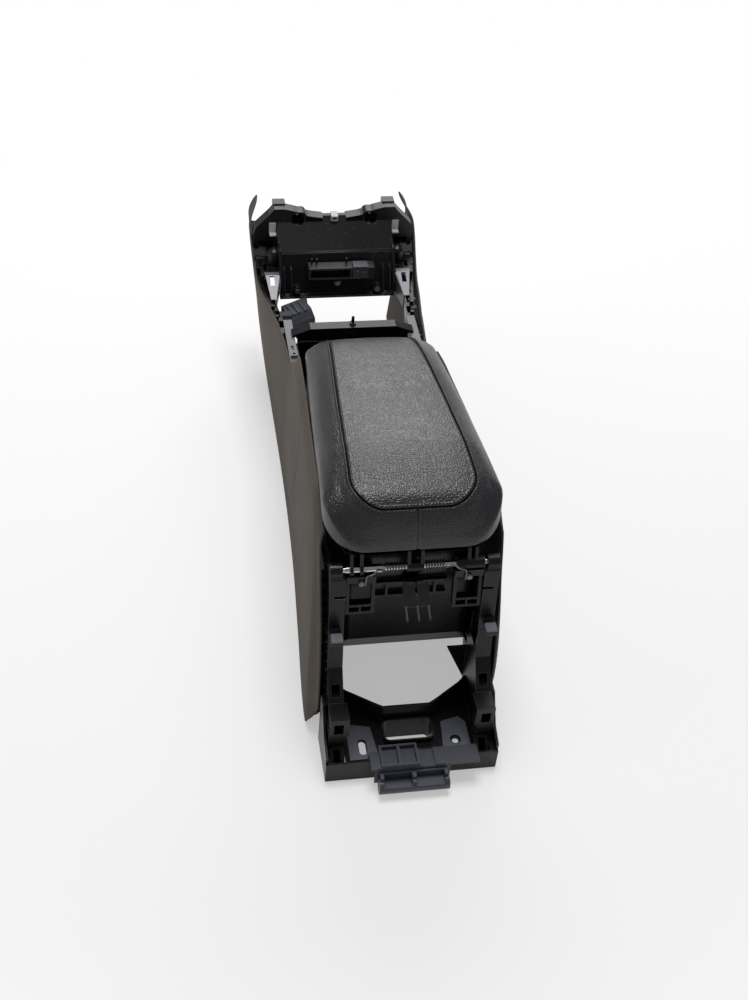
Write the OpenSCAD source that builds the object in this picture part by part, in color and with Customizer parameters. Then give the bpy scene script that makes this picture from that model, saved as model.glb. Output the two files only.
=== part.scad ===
// Car floor console with a padded, sprung armrest lid.
// +Y points to the front of the car, +X to the right and +Z up. The origin lies
// on the floor under the middle of the console.

/* [Console] */
// Overall length, from the rear socket to the front tips of the side panels
console_l = 950; // [900:5:1000]
// Wall thickness of the side panels
panel_t = 2.8; // [2.4:0.2:3.2]
// Half width at the front rim, the widest part of the console
front_half = 131; // [128:1:135]
// Half width of the rim at the waist, just ahead of the lid
waist_half = 101.5; // [101:0.5:104]
// Half width of the shoulder beside the lid, at its widest
shoulder_half = 114; // [113:1:117]
// Half width of the skirts at the floor, from the waist forwards
foot_half = 105; // [104:0.5:107]
// Half width of the flared skirts at the floor, beside the rear frame
flare_half = 124; // [121:1:128]
// Height of the front tips
tip_z = 285; // [280:1:292]
// Height of the rim where it dips, beside the gear selector opening
dip_z = 216; // [214:1:220]
// Height of the rim beside the bridge bar
rim_z = 237; // [235:1:240]
// Gap between the front and the rear panel along their joint
panel_gap = 0.6; // [0.4:0.1:0.9]

/* [Lid] */
// Length of the padded lid along its own slope
lid_l = 393; // [380:1:400]
// Half width of the lid at its front end
lid_front_half = 90; // [86:1:94]
// Half width of the lid at its rear end
lid_rear_half = 109; // [104:1:111]
// Corner radius at the front of the lid
lid_front_r = 28; // [20:1:36]
// Corner radius at the rear of the lid
lid_rear_r = 50; // [40:1:60]
// Slope of the lid down towards the front, in degrees
lid_tilt = 6.5; // [5.5:0.5:7.5]
// Height of the middle of the lid's lower edge
lid_z = 323; // [321:1:326]
// Height of the pad's crown above its lower edge
pad_h = 34; // [30:1:38]
// How far the rear face of the pad hangs below the lid's lower edge
rear_drop = 45; // [42:1:47]
// Depth of the sewn channel round the top panel
groove_d = 3; // [2:0.5:4]
// Thickness of the padded wall round the lid's core
pad_wall = 8; // [7:0.5:9]
// Thickness of the moulded lid core
core_t = 5.5; // [4.5:0.5:6]
// Gap between the lid's lower edge and the side panels
lid_gap = 3; // [2.5:0.5:4]

/* [Hinge] */
// Distance from the rear end of the console to the hinge axis
hinge_inset = 142; // [140:1:145]
// Height of the hinge axis
hinge_z = 270; // [268:1:271]
// Diameter of the hinge shaft
shaft_d = 8; // [7:0.5:9]
// Outer diameter of the sleeves that turn on the shaft
sleeve_d = 18; // [16:1:19]
// Distance from the middle of the console to each sleeve
sleeve_x = 50; // [48:1:52]
// Length of each sleeve
sleeve_l = 34; // [30:1:35]
// Radial clearance of the sleeves on the shaft
run_fit = 0.06; // [0.02:0.01:0.09]
// Wire diameter of the torsion springs
wire_d = 2; // [1.4:0.2:2.2]
// Outer diameter of the bright tube on the left half of the shaft
tube_d = 11; // [10.5:0.5:12]
// Number of turns in each torsion spring
spring_turns = 7; // [5:1:8]
// Length of the wound part of each torsion spring
spring_l = 26; // [22:1:27]

/* [Storage bin] */
// Outer width of the bin
bin_w = 172; // [166:1:174]
// Wall thickness of the bin
bin_t = 2.5; // [2:0.5:3]
// Height of the underside of the bin
bin_z = 108; // [104:1:120]
// Radius of the bin's upright corners
bin_r = 18; // [12:1:24]
// Gap between the bin's rim and the lid's inner cover
bin_gap = 3; // [2.5:0.5:4]

/* [Side rails] */
// Width of each rail
rail_w = 10; // [9:1:11]
// Height of each rail
rail_h = 32; // [28:1:36]
// Height of the rails' upper edge
rail_z = 228; // [226:1:230]
// Thickness of the pale flange on each rail
flange_t = 2.5; // [2:0.5:3]

/* [Front frame] */
// Distance from the front tips to the middle of the top rail
top_rail_inset = 64; // [60:1:68]
// Height of the top rail
top_rail_z = 286; // [282:1:290]
// Depth of the top rail, front to back
top_rail_d = 14; // [12:1:16]
// Wall thickness of the front frame
frame_t = 3; // [2.5:0.5:3.5]
// Half width of the front wall
wall_half = 90; // [88:1:92]
// Distance between the two screw holes of the top rail
boss_pitch = 114; // [110:1:118]
// Diameter of the screw holes in the top rail
boss_hole_d = 5.5; // [4.5:0.5:6.5]

/* [Bridge bar] */
// Depth of the bar, front to back
bridge_d = 16; // [14:1:20]
// Height of the bar's crown
bridge_z = 244; // [242:1:247]
// Distance from the front of the lid to the bar's rear edge
bridge_gap = 114; // [108:1:118]

/* [Rear frame] */
// Half width over the two posts
post_half = 103; // [102:0.5:104]
// Width of each post
post_w = 19; // [17:1:20]
// Height of the platform between the posts
platform_z = 27; // [25:1:30]
// Diameter of the floor bolt holes
bolt_d = 9; // [7:0.5:10]
// Distance from the middle of the console to each floor bolt
bolt_x = 60; // [57:1:62]
// Length of the slotted hole, end to end
slot_l = 22; // [18:1:26]

/* [Hidden] */
$fn = 48;
front_y = console_l / 2;
rear_y = -console_l / 2;
hinge_y = rear_y + hinge_inset;

// The lid's own frame: its lower edge is the plane z = 0, its middle the origin.
lid_back = 1;
lid_y = hinge_y + lid_back + lid_l / 2 * cos(lid_tilt);
lid_end = lid_l / 2;
lid_front_y = lid_y + lid_l / 2 * cos(lid_tilt);
front_lift = 5;
drop_l = 97;
function step3(s) = let(c = min(1, max(0, s))) c * c * (3 - 2 * c);
function lid_plane(y) = lid_z - tan(lid_tilt) * (y - lid_y);
function edge_drop(y) = rear_drop * step3((lid_y - lid_end + drop_l - y) / drop_l);
function lid_edge(y) = lid_plane(y) - edge_drop(y) - front_lift * step3((y - lid_front_y + 60) / 60);

// A smooth curve through [place, value] stations.
function slope(t, i) = let(a = max(0, i - 1), b = min(len(t) - 1, i + 1)) (t[b][1] - t[a][1]) / (t[b][0] - t[a][0]);
function cell(t, p, i = 0) = (i >= len(t) - 2 || p < t[i + 1][0]) ? i : cell(t, p, i + 1);
function curve(t, p) =
    let(q = min(t[len(t) - 1][0], max(t[0][0], p)), i = cell(t, q), h = t[i + 1][0] - t[i][0], s = (q - t[i][0]) / h)
    t[i][1] * (1 + 2 * s) * (1 - s) * (1 - s) + slope(t, i) * h * s * (1 - s) * (1 - s)
    + t[i + 1][1] * s * s * (3 - 2 * s) + slope(t, i + 1) * h * s * s * (s - 1);

// Outer skin of the right-hand side, as a half width at each place along the
// console and each height.
dip_y = front_y - 140;
shoulder = [
    [hinge_y - 67, shoulder_half - 6], [hinge_y + 80, shoulder_half], [lid_front_y - 58, shoulder_half - 9.5],
    [lid_front_y + 44, waist_half], [lid_front_y + 149, waist_half + 8.5], [dip_y - 29, front_half - 8],
    [dip_y + 64, front_half], [front_y, front_half - 1]
];
foot = [
    [hinge_y - 67, flare_half - 3], [hinge_y + 3, flare_half], [hinge_y + 138, flare_half - 8],
    [hinge_y + 279, foot_half + 3], [lid_front_y + 62, foot_half - 1], [front_y, foot_half]
];
front_rim = [
    [lid_front_y + 46, rim_z - 5], [lid_front_y + 106, rim_z], [dip_y - 79, dip_z + 10], [dip_y - 29, dip_z + 1],
    [dip_y + 5, dip_z], [dip_y + 40, dip_z + 14], [dip_y + 84, dip_z + 46], [front_y, tip_z]
];
step_front = lid_front_y + 46;
step_rear = lid_front_y - 13;
function rim_at(y) =
    y >= step_front ? curve(front_rim, y)
    : y > step_rear ? lid_edge(step_rear) - lid_gap
        + (front_rim[0][1] - lid_edge(step_rear) + lid_gap) * (y - step_rear) / (step_front - step_rear)
    : lid_edge(y) - lid_gap;
roll_h = 26;
function roll_at(y) = 6 * step3((step_front - y) / 60) + 15 * step3((y - front_y + 56) / 56);
function lean_at(y) = 1 + 1.2 * step3((step_front + 40 - y) / 120);
// The rear edge curls in towards the posts.
edge_half = post_half + 9.5;
function curl_at(y, z, w) = max(0, w - edge_half) * step3((curve(rear_line, z) + 30 - y) / 30) * step3((z - 12) / 42);
function ref_z(y) = y > step_front ? rim_at(y) : max(rim_at(y), lid_z - 20);
function skin(y, z) =
    let(t = min(1, z / ref_z(y)), r = max(0, (z - rim_at(y) + roll_h) / roll_h),
        w = curve(foot, y) + (curve(shoulder, y) - curve(foot, y)) * pow(t, lean_at(y)) - roll_at(y) * r * r)
    w - curl_at(y, z, w);

// Joint line between the two panels and the rear edge of the rear panel, both
// as a place along the console at each height.
seam_line = [
    [0, lid_front_y - 4], [31, lid_front_y - 25], [143, lid_front_y - 96], [224, lid_front_y - 131],
    [320, lid_front_y - 121]
];
rear_line = [
    [0, hinge_y - 12], [25, hinge_y - 26], [57, hinge_y - 33], [103, hinge_y - 31], [150, hinge_y - 22],
    [200, hinge_y - 9], [240, hinge_y + 7], [270, hinge_y + 18], [300, hinge_y + 33]
];
front_line = [
    [0, front_y - 22], [60, front_y - 20], [150, front_y - 21], [220, front_y - 17], [260, front_y - 10],
    [300, front_y]
];
side_top = 300;
side_rows = 9;
sweep_h = 60;
sweep_l = 105;
function row(j) = j / (side_rows - 1);
function foot_z(y) = sweep_h * step3((y - front_y + 22 + sweep_l) / (sweep_l + 25));

// A curved sheet of even thickness from two grids of points.
module sheet(outer, inner) {
    nu = len(outer);
    nv = len(outer[0]);
    k = nu * nv;
    points = concat([for (r = outer) for (p = r) p], [for (r = inner) for (p = r) p]);
    skin_faces = [for (i = [0 : nu - 2]) for (j = [0 : nv - 2]) let(a = i * nv + j)
        each [[a, a + 1, a + nv + 1], [a, a + nv + 1, a + nv]]];
    back_faces = [for (f = skin_faces) [f[2] + k, f[1] + k, f[0] + k]];
    ends = [for (j = [0 : nv - 2]) let(a = j, b = (nu - 1) * nv + j)
        each [[a + k, a + k + 1, a + 1], [a + k, a + 1, a], [b, b + 1, b + k + 1], [b, b + k + 1, b + k]]];
    sides = [for (i = [0 : nu - 2]) let(a = i * nv, b = i * nv + nv - 1)
        each [[a, a + nv, a + nv + k], [a, a + nv + k, a + k],
              [b + k, b + nv + k, b + nv], [b + k, b + nv, b]]];
    polyhedron(points, concat(skin_faces, back_faces, ends, sides), convexity = 8);
}

module sheet_from(grid) {
    sheet(
        [for (r = grid) [for (p = r) [skin(p[0], p[1]), p[0], p[1]]]],
        [for (r = grid) [for (p = r) [skin(p[0], p[1]) - panel_t, p[0], p[1]]]]
    );
}

// An outline given as [y, z] points, carried across the console.
module across(w) {
    rotate([90, 0, 90]) linear_extrude(height = w, center = true) children();
}

// An outline given as [x, z] points, carried along the console.
module lengthwise(d) {
    rotate([90, 0, 0]) linear_extrude(height = d, center = true) children();
}

module block(x0, x1, y0, y1, z0, z1) {
    translate([x0, y0, z0]) cube([x1 - x0, y1 - y0, z1 - z0]);
}

module rounded(w, l, r) {
    square([w - 2 * r, l], center = true);
    square([w, l - 2 * r], center = true);
    for (x = [-1, 1]) for (y = [-1, 1]) translate([x * (w / 2 - r), y * (l / 2 - r)]) circle(r);
}

module bar_x(x0, x1, y, z, d) {
    translate([x0, y, z]) rotate([0, 90, 0]) cylinder(h = x1 - x0, d = d);
}

module bar_y(x, y0, y1, z, d) {
    translate([x, y1, z]) rotate([90, 0, 0]) cylinder(h = y1 - y0, d = d);
}

module left() {
    mirror([1, 0, 0]) children();
}

module both() {
    children();
    mirror([1, 0, 0]) children();
}

// A round wire swept along points.
module wire(path, d, sides = 6) {
    n = len(path);
    function unit(v) = v / norm(v);
    dir = [for (i = [0 : n - 1]) unit(path[min(n - 1, i + 1)] - path[max(0, i - 1)])];
    side = [for (t = dir) unit(cross(t, abs(t[0]) < 0.9 ? [1, 0, 0] : [0, 0, 1]))];
    points = [for (i = [0 : n - 1]) for (k = [0 : sides - 1])
        let(a = 360 * k / sides) path[i] + d / 2 * (cos(a) * side[i] + sin(a) * cross(dir[i], side[i]))];
    walls = [for (i = [0 : n - 2]) for (k = [0 : sides - 1])
        let(a = i * sides + k, b = i * sides + (k + 1) % sides)
        each [[a, a + sides, b], [b, a + sides, b + sides]]];
    caps = [[for (k = [0 : sides - 1]) k], [for (k = [sides - 1 : -1 : 0]) (n - 1) * sides + k]];
    polyhedron(points, concat(walls, caps), convexity = 10);
}

// Side panels
rail_out = bin_w / 2 + rail_w;
seat = 0.2;
tab_l = 14;
tab_h = 8;

module panel_tab(y, z, x) {
    block(x + seat, skin(y, z) - panel_t / 2, y - tab_l / 2, y + tab_l / 2, z - tab_h / 2, z + tab_h / 2);
}

front_columns = [
    front_y, front_y - 14, front_y - 30, front_y - 56, front_y - 78, dip_y + 40, dip_y + 22, dip_y + 5,
    dip_y - 29, dip_y - 79, dip_y - 125, lid_front_y + 106, lid_front_y + 75, step_front, lid_front_y + 26,
    lid_front_y + 6, step_rear, lid_front_y - 40, lid_front_y - 80, lid_front_y - 121
];

module front_panel() {
    last = front_columns[len(front_columns) - 1];
    grid = [for (i = [len(front_columns) - 1 : -1 : 0]) [for (j = [0 : side_rows - 1])
        let(s = (front_y - front_columns[i]) / (front_y - last), h = row(j) * side_top,
            y0 = curve(front_line, h), y = y0 - s * (y0 - curve(seam_line, h) - panel_gap / 2))
        [y, foot_z(y) + row(j) * (rim_at(y) - foot_z(y))]]];
    sheet_from(grid);
    panel_tab(dip_y + 55, rail_z - 30, arm_out(dip_y + 55));
    panel_tab(dip_y - 50, rail_z - 30, arm_out(dip_y - 50 + tab_l / 2));
    for (y = [lid_front_y + 100, lid_front_y - 38]) panel_tab(y, rail_z - rail_h / 2, rail_out);
}

module side_panel_front_right() {
    color("#4f4b47") front_panel();
}

module side_panel_front_left() {
    color("#57524d") left() front_panel();
}

rear_shares = [0, 0.025, 0.05, 0.08, 0.13, 0.27, 0.38, 0.49, 0.6, 0.7, 0.8, 0.9, 1];

module rear_panel() {
    grid = [for (q = rear_shares) [for (j = [0 : side_rows - 1])
        let(h = row(j) * side_top, a = curve(rear_line, h), b = curve(seam_line, h) - panel_gap / 2,
            y = a + (b - a) * q)
        [y, row(j) * rim_at(y)]]];
    sheet_from(grid);
    for (y = [hinge_y + 230, hinge_y + 90]) panel_tab(y, rail_z - rail_h / 2, rail_out);
    for (z = [70, 150]) panel_tab(hinge_y + 6, z, post_half);
}

module side_panel_rear_right() {
    color("#5a554f") rear_panel();
}

module side_panel_rear_left() {
    color("#70675f") left() rear_panel();
}

// Front frame. Its section is a top rail, a wall that slopes down and back, a
// ledge, a steep lower wall and a lip.
top_rail_y = front_y - top_rail_inset;
ledge_y = top_rail_y - 44;
ledge_z = top_rail_z - 38;
ledge_d = 6;
lip_y = top_rail_y - 74;
lip_z = top_rail_z - 96;
lip_d = 8;
rail_front_y = lid_front_y + 157;
shelf_z = dip_z + 8;
arm_z0 = rail_z - 44;
arm_z1 = rail_z - 22;
arm_w = 13;
arm_path = [[rail_front_y, rail_out + 7], [dip_y - 79, rail_out + 12.5], [dip_y - 29, rail_out + 19.5],
            [dip_y + 15, rail_out + 25], [top_rail_y - 6, rail_out + 25]];
function arm_out(y) = lookup(y, arm_path);

module front_section() {
    polygon([
        [top_rail_y + top_rail_d / 2, top_rail_z - 14], [top_rail_y + top_rail_d / 2, top_rail_z - 4],
        [top_rail_y + top_rail_d / 2 - 4, top_rail_z], [top_rail_y - top_rail_d / 2 + 3, top_rail_z],
        [top_rail_y - top_rail_d / 2, top_rail_z - 3], [ledge_y, ledge_z], [ledge_y - ledge_d, ledge_z],
        [lip_y, lip_z], [lip_y - lip_d, lip_z - 1], [lip_y - lip_d, lip_z - 1 - frame_t],
        [lip_y + frame_t, lip_z - frame_t], [ledge_y - ledge_d + frame_t, ledge_z - frame_t],
        [ledge_y + 1, ledge_z - frame_t], [top_rail_y - top_rail_d / 2 + 6, top_rail_z - 9]
    ]);
}

boss_z = top_rail_z + 1;
boss_w = 20;
boss_h = 22;
boss_floor = 5;
tower_x = 86;
tower_z = top_rail_z + 19;
wing_half = front_half - 14;
window_x = wall_half + 6.5;

band_top = [[18, top_rail_z], [boss_pitch / 2 - 16, top_rail_z + 4], [boss_pitch / 2 + 3, top_rail_z + 12],
            [tower_x - 12, tower_z - 3]];
band_low = [[18, top_rail_z - 10], [boss_pitch / 2 - 16, top_rail_z - 12], [boss_pitch / 2, top_rail_z - 17],
            [boss_pitch / 2 + 14, ledge_z + 14]];
function band(t, n) = [for (i = [0 : n]) let(x = t[0][0] + (t[3][0] - t[0][0]) * i / n) [x, curve(t, x)]];

// The outer edge of the wing lies close to the side panel's skin.
wing_z = [top_rail_z - 27, top_rail_z - 38, top_rail_z - 50, top_rail_z - 62, top_rail_z - 74, arm_z1 - 4];
function wing_x(z) = min(skin(wing_y - 9, z), skin(wing_y, z), skin(wing_y + 9, z)) - panel_t - 1.8;

module shoulder_outline() {
    low = band(band_low, 8);
    difference() {
        polygon(concat(band(band_top, 10), [
            [tower_x - 6, tower_z - 2], [tower_x + 8, tower_z - 2], [tower_x + 16, tower_z - 12],
            [wing_half + 6, top_rail_z - 15]], [for (z = wing_z) [wing_x(z), z]], [ [wall_half - 4, shelf_z - 3],
            [wall_half - 4, ledge_z + 4]], [for (i = [8 : -1 : 0]) low[i]]));
        translate([window_x, tower_z - 33]) square([11, 16], center = true);
    }
}

wing_y = top_rail_y - 2;

// Pocket and screw hole of a boss
module boss_cut() {
    translate([boss_pitch / 2, wing_y - boss_floor, boss_z - 2]) lengthwise(18) rounded(boss_w, boss_h - 4, 6);
    bar_y(boss_pitch / 2, wing_y - 30, wing_y + 30, boss_z, boss_hole_d);
}

module front_side() {
    difference() {
        union() {
            translate([0, wing_y, 0]) lengthwise(18) shoulder_outline();
            translate([boss_pitch / 2, wing_y, boss_z - 2]) lengthwise(18) rounded(boss_w + 6, boss_h + 2, 8);
        }
        boss_cut();
        block(wall_half + 4, wing_half + 1, wing_y - 10, wing_y + 4, shelf_z + 2, top_rail_z - 38);
    }
    // hook tower
    difference() {
        block(tower_x - 10, tower_x + 9, top_rail_y + 2, top_rail_y + 17, tower_z - 16, tower_z);
        block(tower_x - 5, tower_x + 4, top_rail_y, top_rail_y + 20, tower_z - 10, tower_z - 4);
    }
    // end cheek of the wall
    translate([wall_half - frame_t / 2, 0, 0]) across(frame_t) polygon([
        [lip_y - lip_d, lip_z - 1 - frame_t], [lip_y - lip_d, lip_z + 20], [lip_y + 8, ledge_z - 12],
        [ledge_y - 8, ledge_z + 8], [top_rail_y - 11, top_rail_z - 26], [top_rail_y - 11, ledge_z + 4],
        [ledge_y + 1, ledge_z - frame_t], [lip_y + frame_t, lip_z - frame_t]
    ]);
    // round knee beside the wall
    translate([wall_half + 7, ledge_y + 3, 0]) {
        translate([0, 0, shelf_z - 2]) cylinder(h = ledge_z - 2 - shelf_z + 2, r = 11);
        translate([0, 0, ledge_z - 2]) cylinder(h = 4, r1 = 11, r2 = 8);
        translate([0, 0, ledge_z + 2]) cylinder(h = 3, r1 = 8, r2 = 3);
    }
    // shelf from the wall to the arm, with the slot that a trim clip takes
    difference() {
        block(wall_half - frame_t, wing_half + 1, lip_y + 2, top_rail_y - 10, shelf_z - 3, shelf_z);
        block(wing_half - 9, wing_half - 3, lip_y + 16, lip_y + 34, shelf_z - 5, shelf_z + 2);
    }
    block(wing_half, wing_half + 5.5, lip_y + 24, top_rail_y - 10, shelf_z - 3, shelf_z);
    // floor under the slot of the gusset plate
    block(wall_half + 9, arm_out(lip_y - 20) - arm_w + 2, lip_y - 20, lip_y, arm_z0 + 12, arm_z0 + 15);
    block(wing_half - 9, wing_half + 1, lip_y + 40, top_rail_y - 10, arm_z1 - 2, shelf_z - 1);
    block(wing_half - 2, wing_half + 1, lip_y + 2, top_rail_y - 10, arm_z1 - 2, shelf_z - 1);
    // arm that runs back to the side rail
    arm_plan = concat(arm_path, [for (i = [len(arm_path) - 1 : -1 : 0]) arm_path[i] - [0, arm_w]]);
    difference() {
        translate([0, 0, arm_z0]) linear_extrude(height = arm_z1 - arm_z0)
            polygon([for (p = arm_plan) [p[1], p[0]]]);
        for (i = [0 : 6]) let(y = rail_front_y + 14 + i * 26)
            block(arm_out(y) - arm_w + 2.5, arm_out(y) - 3.5, y, y + 17, arm_z0 + 4, arm_z1 + 1);
    }
    for (i = [0, 1, 4, 5]) let(y = rail_front_y + 35 + i * 26)
        block(arm_out(y) - 7, arm_out(y) - 1.5, y - 2, y + 2, arm_z1 - 1, arm_z1 + 7);
}

rib_at = [72, 83];
screw_x = 63;
lower_slope = (ledge_z - lip_z) / (ledge_y - ledge_d - lip_y);
function lower_y(z) = lip_y + (z - lip_z) / lower_slope;

module front_frame() {
    clip_w = 11;
    color("#2b2b2e") {
        difference() {
            union() {
                across(2 * wall_half) front_section();
                // ribs and screw pockets on the lower wall
                for (s = [-1, 1]) for (x = rib_at) translate([s * x, 0, 0]) across(2) polygon([
                    [lip_y - lip_d + 1, lip_z - 2], [lip_y - lip_d + 1, lip_z + 10],
                    [lower_y(ledge_z - 18) - 9, ledge_z - 18], [lower_y(ledge_z - 18) + 1, ledge_z - 18],
                    [lip_y + 1, lip_z - 2]
                ]);
                for (x = [-screw_x, 0, screw_x]) let(z = x == 0 ? lip_z + 19 : lip_z + 8)
                    bar_y(x, lower_y(z) - 8, lower_y(z) + 2, z, 13);
            }
            for (x = [-screw_x, 0, screw_x]) let(z = x == 0 ? lip_z + 19 : lip_z + 8)
                bar_y(x, lower_y(z) - 9, lower_y(z) + 9, z, 4.4);
            // pocket for the centre clip
            block(-clip_w / 2, clip_w / 2, top_rail_y - top_rail_d, top_rail_y + 2, top_rail_z - 5, top_rail_z + 1);
            both() boss_cut();
        }
        // centre tab under the clip
        block(-5, 5, top_rail_y - 14, top_rail_y - 6, top_rail_z - 13, top_rail_z - 11);
        both() front_side();
    }
}

// Spring clips pushed into the windows of the shoulders, and the centre clip
module front_clips() {
    color("#b9b9bb") {
        both() {
            difference() {
                block(window_x - 5.2, window_x + 5.2, top_rail_y - 13, top_rail_y + 9, tower_z - 40.7, tower_z - 25.3);
                block(window_x - 3.6, window_x + 3.6, top_rail_y - 11.5, top_rail_y + 10, tower_z - 39, tower_z - 27);
            }
            block(window_x - 5.2, window_x + 5, top_rail_y - 22, top_rail_y - 11.3, tower_z - 43.2, tower_z - 41.2);
            block(window_x - 5.2, window_x + 5.2, top_rail_y - 13, top_rail_y - 11.5, tower_z - 42, tower_z - 40);
        }
        difference() {
            block(-5.2, 5.2, top_rail_y - top_rail_d, top_rail_y + 1.8, top_rail_z - 4.8, top_rail_z + 4);
            block(-3.2, 3.2, top_rail_y - top_rail_d - 1, top_rail_y - 1, top_rail_z - 2.8, top_rail_z + 2);
        }
    }
}

// Folded plates between the front wall and the arms
gusset_t = 2;

gusset_y0 = dip_y - 37;
gusset_y1 = lip_y + 8;
gusset_lift = 0.2;

module gusset() {
    x_in = wall_half + 0.3;
    x_out = wing_half - 3;
    apex_x = arm_out(gusset_y0) - arm_w;
    z0 = arm_z1 + gusset_lift;
    z1 = shelf_z + gusset_lift;
    slant = [[gusset_y0, z0], [lip_y, z1], [gusset_y1, z1], [gusset_y1, z1 + gusset_t], [lip_y, z1 + gusset_t],
             [gusset_y0, z0 + gusset_t]];
    difference() {
        intersection() {
            translate([100, 0, 0]) across(80) polygon(slant);
            linear_extrude(height = 400) polygon([
                [x_in, gusset_y1], [x_out, gusset_y1], [apex_x + 6, gusset_y0], [apex_x - 2.5, gusset_y0]
            ]);
        }
        block(x_in + 9, x_in + 16, lip_y - 17, lip_y - 2, shelf_z - 20, shelf_z + 20);
    }
    // upright web beside the arm
    intersection() {
        linear_extrude(height = 400) polygon([
            [x_in, lip_y], [x_in + 2, lip_y], [apex_x - 0.5, gusset_y0], [apex_x - 2.5, gusset_y0]
        ]);
        translate([100, 0, 0]) across(80) polygon([
            [gusset_y0, arm_z0 + 2], [lip_y, arm_z0 + 8], [lip_y, z1 + 0.5], [gusset_y0, z0 + 0.5]
        ]);
    }
}

module gusset_plate_right() {
    color("#b3b3b6") gusset();
}

module gusset_plate_left() {
    color("#b3b3b6") left() gusset();
}

// Carrier and control module on the lower front wall
carrier_z = ledge_z - 9;
carrier_y1 = lower_y(carrier_z - 20) - 0.3;
carrier_y0 = carrier_y1 - 18;

module module_carrier() {
    color("#2c2d31") {
        difference() {
            block(-46, 56, carrier_y0, carrier_y1, carrier_z - 20, carrier_z);
            block(-43, 18, carrier_y0 - 1, carrier_y1 - 4, carrier_z - 17, carrier_z - 3);
            block(22, 46, carrier_y0 - 1, carrier_y1 - 3, carrier_z - 18, carrier_z + 1);
        }
        for (x = [-42, -34, 12]) block(x, x + 2.5, carrier_y1 - 5, carrier_y1 - 2, carrier_z - 1, carrier_z + 9);
        for (x = [-44, 50]) carrier_foot(x);
    }
}

// A foot that follows the slope of the lower wall
module carrier_foot(x) {
    translate([x, 0, 0]) across(4) polygon([
        [carrier_y1 - 1, carrier_z - 4], [lower_y(carrier_z - 4) - 0.2, carrier_z - 4],
        [lower_y(carrier_z - 18) - 0.2, carrier_z - 18], [carrier_y1 - 1, carrier_z - 18]
    ]);
}

module control_module() {
    color("#3a3c42") {
        block(22.4, 45.6, carrier_y0 - 2, carrier_y1 - 3.4, carrier_z - 17.6, carrier_z + 3);
        block(26, 31, carrier_y0 - 5, carrier_y0 - 1.9, carrier_z - 15, carrier_z - 3);
        block(34, 42, carrier_y0 - 4, carrier_y0 - 1.9, carrier_z - 14, carrier_z - 6);
    }
}

// Cable guide at the left of the opening
module cable_bracket() {
    y0 = lip_y - 58;
    color("#3e4047") {
        difference() {
            cable_box() across(38) polygon([
                [-20, -16], [2, -20], [22, -4], [20, 15], [-8, 17], [-20, 6]
            ]);
            cable_box() block(-15, 15, -17, 16, -7, 9);
        }
        cable_box() for (x = [-13, -4, 7]) block(x, x + 3, -10, 14, 14.5, 18.5);
        bar_y(-52, y0 + 38, lip_y - lip_d - 0.3, arm_z0 + 2, 7);
        block(-arm_out(y0 + 4) + arm_w + 0.3, -77, y0 + 4, y0 + 16, arm_z0 - 4, arm_z0 + 4);
    }
}

module cable_box() {
    translate([-64.2, lip_y - 36, arm_z0 - 12]) rotate([4, -8, 20]) children();
}

// Screws in the front frame, heads towards the rear
module front_screws() {
    color("#c9c9cc") for (x = [-screw_x, 0, screw_x])
        let(z = x == 0 ? lip_z + 19 : lip_z + 8, y = lower_y(z) - 8) {
            bar_y(x, y - 3, y, z, 8);
            bar_y(x, y, y + 10, z, 4.2);
        }
}

// Bridge bar between the gear selector opening and the cup well
bridge_y0 = lid_front_y + bridge_gap;
bridge_y1 = bridge_y0 + bridge_d;
bridge_half = bin_w / 2 + 4;

module bridge_bar() {
    mid = bridge_half * 0.7;
    low = rail_z + flange_t;
    web_z = bridge_z - 26;
    color("#17171a") {
        translate([0, (bridge_y0 + bridge_y1) / 2, 0]) lengthwise(bridge_d) polygon([
            [-bridge_half, low], [-bridge_half, low + 3], [-mid, bridge_z], [mid, bridge_z],
            [bridge_half, low + 3], [bridge_half, low], [bridge_half - 12, low], [mid - 1, bridge_z - 3],
            [1 - mid, bridge_z - 3], [12 - bridge_half, low]
        ]);
        for (y = [bridge_y0 + 1.5, bridge_y1 - 1.5]) translate([0, y, 0]) lengthwise(3) polygon([
            [-bridge_half + 8, low + 1], [-mid, bridge_z - 1], [mid, bridge_z - 1], [bridge_half - 8, low + 1],
            [bin_w / 2 - 4, web_z], [4 - bin_w / 2, web_z]
        ]);
        for (x = [-50, -25, 0, 25, 50]) block(x - 1, x + 1, bridge_y0 + 1, bridge_y1 - 1, web_z + 3, bridge_z - 1);
        translate([0, bridge_y1 - 6, bridge_z - 1]) {
            cylinder(h = 3.5, d = 10);
            cylinder(h = 12, d = 4.5);
            translate([0, 0, 12]) sphere(d = 4.5);
        }
    }
}

// Black liner between the bin and the bridge bar, under the cup holder
module cup_well_liner() {
    y0 = bin_front_y + 0.6;
    y1 = bridge_y0 - 0.8;
    wall = 2.2;
    color("#141417") difference() {
        translate([0, (y0 + y1) / 2, rail_z - 76]) linear_extrude(height = 72)
            rounded(bin_w - 1.2, y1 - y0, 10);
        translate([0, (y0 + y1) / 2, rail_z - 76 + wall]) linear_extrude(height = 80)
            rounded(bin_w - 1.2 - 2 * wall, y1 - y0 - 2 * wall, 10 - wall);
        block(-18, 18, y1 - 4, y1 + 1, rail_z - 16, rail_z);
    }
}

// Side rails that carry the bin and the bridge bar
rail_rear_y = hinge_y + 33;

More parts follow.
